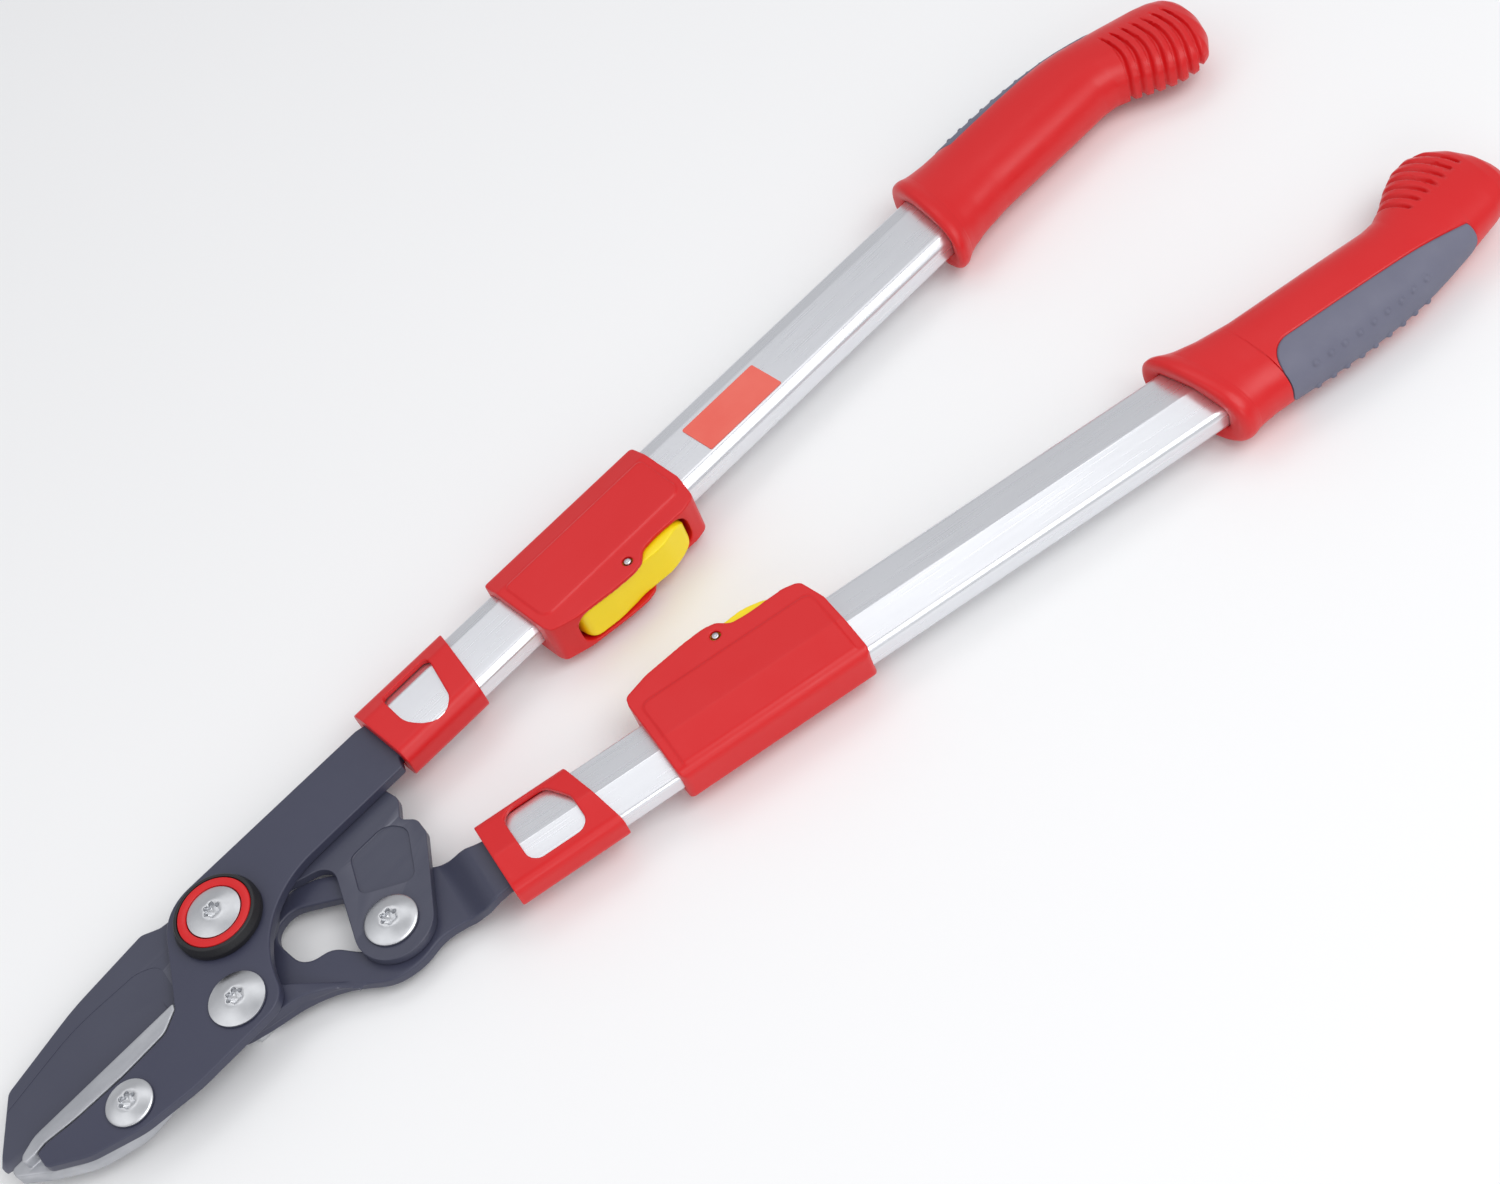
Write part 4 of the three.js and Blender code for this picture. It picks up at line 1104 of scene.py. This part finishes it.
def groove_depth(points):
    """Depth of the finger grooves at each point of the grip."""
    depth = np.zeros(points.shape[:2])
    v, z = points[..., 1], points[..., 2]
    for i in range(GROOVES):
        a = np.array((418.5 + 4.7 * i, 1 - 1.6 * i))
        b = np.array((418 + 4.9 * i, -15 - 1.8 * i))
        c = np.array((404 + 4.6 * i, -28 - 2.5 * i))
        nearest = np.full(depth.shape, 1e9)
        where = np.zeros(depth.shape)
        for t in np.linspace(0, 1.12, 140):
            spot = (1 - t) ** 2 * a + 2 * t * (1 - t) * b + t * t * c
            gap = np.hypot(points[..., 0] - spot[0], v - spot[1])
            closer = gap < nearest
            nearest = np.where(closer, gap, nearest)
            where = np.where(closer, t, where)
        width = 0.5 + 0.6 * np.clip(where * 2.2, 0, 1)
        end = -9.0 - 1.2 * i
        fade = np.where(z > 0, 1.0, np.clip((end - v) / 1.5, 0, 1))
        profile = np.clip(1.25 - (nearest / width) ** 2 * 0.9, 0, 1)
        depth = np.maximum(depth, GROOVE_DEPTH * profile * fade)
    return depth


def seam_distance(surface, first, last):
    """Distance of each ring point from the insert's border, measured round the ring."""
    steps = np.linalg.norm(np.roll(surface, -1, axis=1) - surface, axis=2)
    travelled = np.concatenate([np.zeros((len(surface), 1)), np.cumsum(steps, axis=1)[:, :-1]], axis=1)
    whole = steps.sum(axis=1)[:, None]
    near = np.abs(travelled - travelled[:, first:first + 1])
    far = np.abs(travelled - travelled[:, last:last + 1])
    return np.minimum(np.minimum(near, whole - near), np.minimum(far, whole - far))


def nub_height(surface, angles):
    """Height of the two rows of small round nubs along the insert's outer edge."""
    height = np.zeros(surface.shape[:2])
    along_edge = surface[:, PAD_CELLS // 2, 0]
    rise, radius = 1.1, 1.4
    for first, angle in ((345.0, 0.3), (345.6, -0.45)):
        for k in range(NUBS_IN_ROW):
            ring = int(np.argmin(np.abs(along_edge - first - NUB_PITCH * k)))
            pick = int(np.argmin(np.abs(angles[ring, :PAD_CELLS + 1] - angle)))
            gap = np.linalg.norm(surface - surface[ring, pick], axis=2)
            height = np.maximum(height, rise * np.clip(1 - (gap / radius) ** 2, 0, 1) ** 0.6)
    return height


def build_grip():
    grid = grip_grid()
    u = grid[0]
    skin = grip_surface(grid, 0.0)
    pad_rows = (u > PAD_START) & (u < PAD_END)
    on_pad = np.zeros(skin.shape[:2], bool)
    on_pad[pad_rows, :PAD_CELLS + 1] = True
    border = seam_distance(skin, 0, PAD_CELLS)
    seam_rows = (u > PAD_START + 0.4) & (u < PAD_END - 0.4)
    seam_depth, seam_width = 0.45, 0.7
    seam = seam_depth * np.clip(1 - border / seam_width, 0, 1) * seam_rows[:, None]
    recess = on_pad & (border > 0.05)
    build_grip_body(grip_surface(grid, np.where(recess, PAD_DEPTH, groove_depth(skin) + seam)))
    rows = np.where(pad_rows)[0]
    edge_drop, edge_width = 0.6, 0.9
    round_edge = edge_drop * np.clip(1 - border / edge_width, 0, 1) ** 2
    proud = grip_surface(grid, -PAD_PROUD - nub_height(skin, grid[1]) + round_edge)
    below = grip_surface(grid, PAD_DEPTH - GAP)
    build_pad(proud[rows][:, :PAD_CELLS + 1], below[rows][:, :PAD_CELLS + 1])


def build_grip_body(red):
    """Closed grip: the bore for the tube, the flange's front face, and the outer skin."""
    polygon = np.array([tuple(p) for p in grown(OUTER_SECTION, GAP)])
    middle = np.array((2.0, 0.0))
    bore = []
    for point in red[0]:
        target = point[1:] - middle
        bore.append(middle + target * hit_outline(polygon, middle, target))

    def bore_ring(depth, growth=0.0):
        points = []
        for v, z in bore:
            share = 1 + growth / math.hypot(v - middle[0], z)
            station = GRIP_START + depth + GRIP_SLANT * v
            points.append(Vector((station, middle[0] + (v - middle[0]) * share, z * share)))
        return points

    end = [Vector((OUTER_END + GAP, v, z)) for v, z in bore]
    rings = [end, bore_ring(3.0), bore_ring(1.6, 0.1), bore_ring(1.1, 0.5)]
    front = [Vector(p) for p in red[0]]
    last = rings[-1]
    for share in (0.35, 0.7):
        rings.append([a.lerp(b, share) + Vector((-0.15, 0, 0)) for a, b in zip(last, front)])
    rings += [[Vector(p) for p in ring] for ring in red]
    piece = rings_to_mesh(rings)
    fewer = piece.modifiers.new("fewer", "DECIMATE")
    fewer.ratio = 0.7
    on_both_handles(shade(settle(piece), 60, False), "grip", "red")


def hit_outline(polygon, middle, direction):
    """How many times direction fits between middle and the outline."""
    a = polygon - middle
    b = np.roll(polygon, -1, axis=0) - middle
    edge = b - a
    cross = direction[0] * edge[:, 1] - direction[1] * edge[:, 0]
    cross = np.where(np.abs(cross) < 1e-12, 1e-12, cross)
    along = (a[:, 0] * edge[:, 1] - a[:, 1] * edge[:, 0]) / cross
    part = (a[:, 0] * direction[1] - a[:, 1] * direction[0]) / cross
    good = (along > 0) & (part >= -1e-9) & (part <= 1 + 1e-9)
    return float(along[good].min())


def build_pad(top, bottom):
    """Soft insert between its outer skin and the recess in the grip."""
    rows, columns = top.shape[:2]
    points = [Vector(p) for p in top.reshape(-1, 3)] + [Vector(p) for p in bottom.reshape(-1, 3)]
    offset = rows * columns
    faces = []
    for i in range(rows - 1):
        for k in range(columns - 1):
            a = i * columns + k
            b = a + columns
            faces.append((a, a + 1, b + 1, b))
            faces.append((a + offset, b + offset, b + 1 + offset, a + 1 + offset))
    for i in range(rows - 1):
        for k in (0, columns - 1):
            a = i * columns + k
            faces.append((a, a + columns, a + columns + offset, a + offset))
    for k in range(columns - 1):
        for a in (k, (rows - 1) * columns + k):
            faces.append((a, a + 1, a + 1 + offset, a + offset))
    piece = from_lists("pad", points, faces)
    on_both_handles(shade(piece, 60, False), "grip_pad", "rubber")


def build_label():
    """Plain film label on the left outer tube."""
    low = TUBE_HALF + OUTER_GROW + 0.05
    start, end, inner, outer, radius = 168, 208, -11.6, 5.8, 0.8
    corners = [(start, inner), (end, inner), (end, outer), (start, outer)]
    outline = rounded([(*corner, radius) for corner in corners])
    piece = shade(plate([outline], low, low + 0.3, 0.05, 1))
    finish_piece(piece, "left_label", handle_place("left"), "label")


def dress_hidden_nodes():
    """Inner pieces whose CAD shape stays: bushings, rivets and guide plugs."""
    kept = {"blade_bushing": "bronze", "lever_bushing": "bronze"}
    for side in SIDES:
        kept[f"{side}_tang_rivet_inner"] = "rivet"
        kept[f"{side}_tang_rivet_outer"] = "rivet"
        kept[f"{side}_guide_plug"] = "plug"
    for node, finish in kept.items():
        coat(frame["nodes"][node], finish)


# ---- studio ----
def add_floor():
    floor = prism(circle(0, 0, 4000, 96), -6, 0)
    floor.name = "floor"
    floor.data.transform(Matrix.Scale(MM, 4))
    floor.location = (0, 0, cad_low.z - 0.0002)
    floor.data.materials.append(floor_paint())


def add_light(name, place, size, power):
    data = bpy.data.lights.new(name, "AREA")
    data.shape = "RECTANGLE"
    data.size, data.size_y = size
    data.energy = power
    light = bpy.data.objects.new(name, data)
    light.location = place
    light.rotation_euler = (-Vector(place)).to_track_quat("-Z", "Y").to_euler()
    bpy.context.scene.collection.objects.link(light)


def add_studio():
    world = bpy.data.worlds.new("studio")
    world.use_nodes = True
    sky = world.node_tree.nodes["Background"]
    sky.inputs["Color"].default_value = SKY_COLOR
    sky.inputs["Strength"].default_value = SKY_STRENGTH
    bpy.context.scene.world = world
    for light in LIGHTS:
        add_light(*light)
    bpy.context.scene.view_settings.view_transform = "Standard"


add_camera()
build_jaw_lever()
build_anvil()
build_blade()
build_cam_lever()
build_bolt("pivot_bolt", (0, 0), 10.4, 6.9, 3.2, PIVOT_RADIUS, BLADE_LOW - NUT_HEIGHT - 0.3, 1.5)
build_bolt("lever_bolt", PIVOT_LEVER, 10.8, JAW_HIGH + GAP, 3.2, BOLT_RADIUS, CAM_LOW - NUT_HEIGHT - 0.3)
build_bolt("anvil_bolt", PIVOT_ANVIL, 8.9, JAW_HIGH + GAP, 2.8, BOLT_RADIUS, ANVIL_LOW)
build_bolt("drive_bolt", PIVOT_DRIVE, 10.2, BLADE_HIGH + GAP, 3.2, BOLT_RADIUS, CAM_LOW - NUT_HEIGHT - 0.3)
build_nut("pivot_nut", (0, 0), 15, BLADE_LOW - GAP, PIVOT_RADIUS + GAP)
build_nut("lever_nut", PIVOT_LEVER, 13.5, CAM_LOW - GAP, BOLT_RADIUS + GAP)
build_nut("drive_nut", PIVOT_DRIVE, 13.5, CAM_LOW - GAP, BOLT_RADIUS + GAP)
build_roller()
build_pivot_cover()
build_tubes()
build_collar()
build_housing()
build_button()
build_small_parts()
build_spring()
build_grip()
build_label()
dress_hidden_nodes()
add_floor()
add_studio()
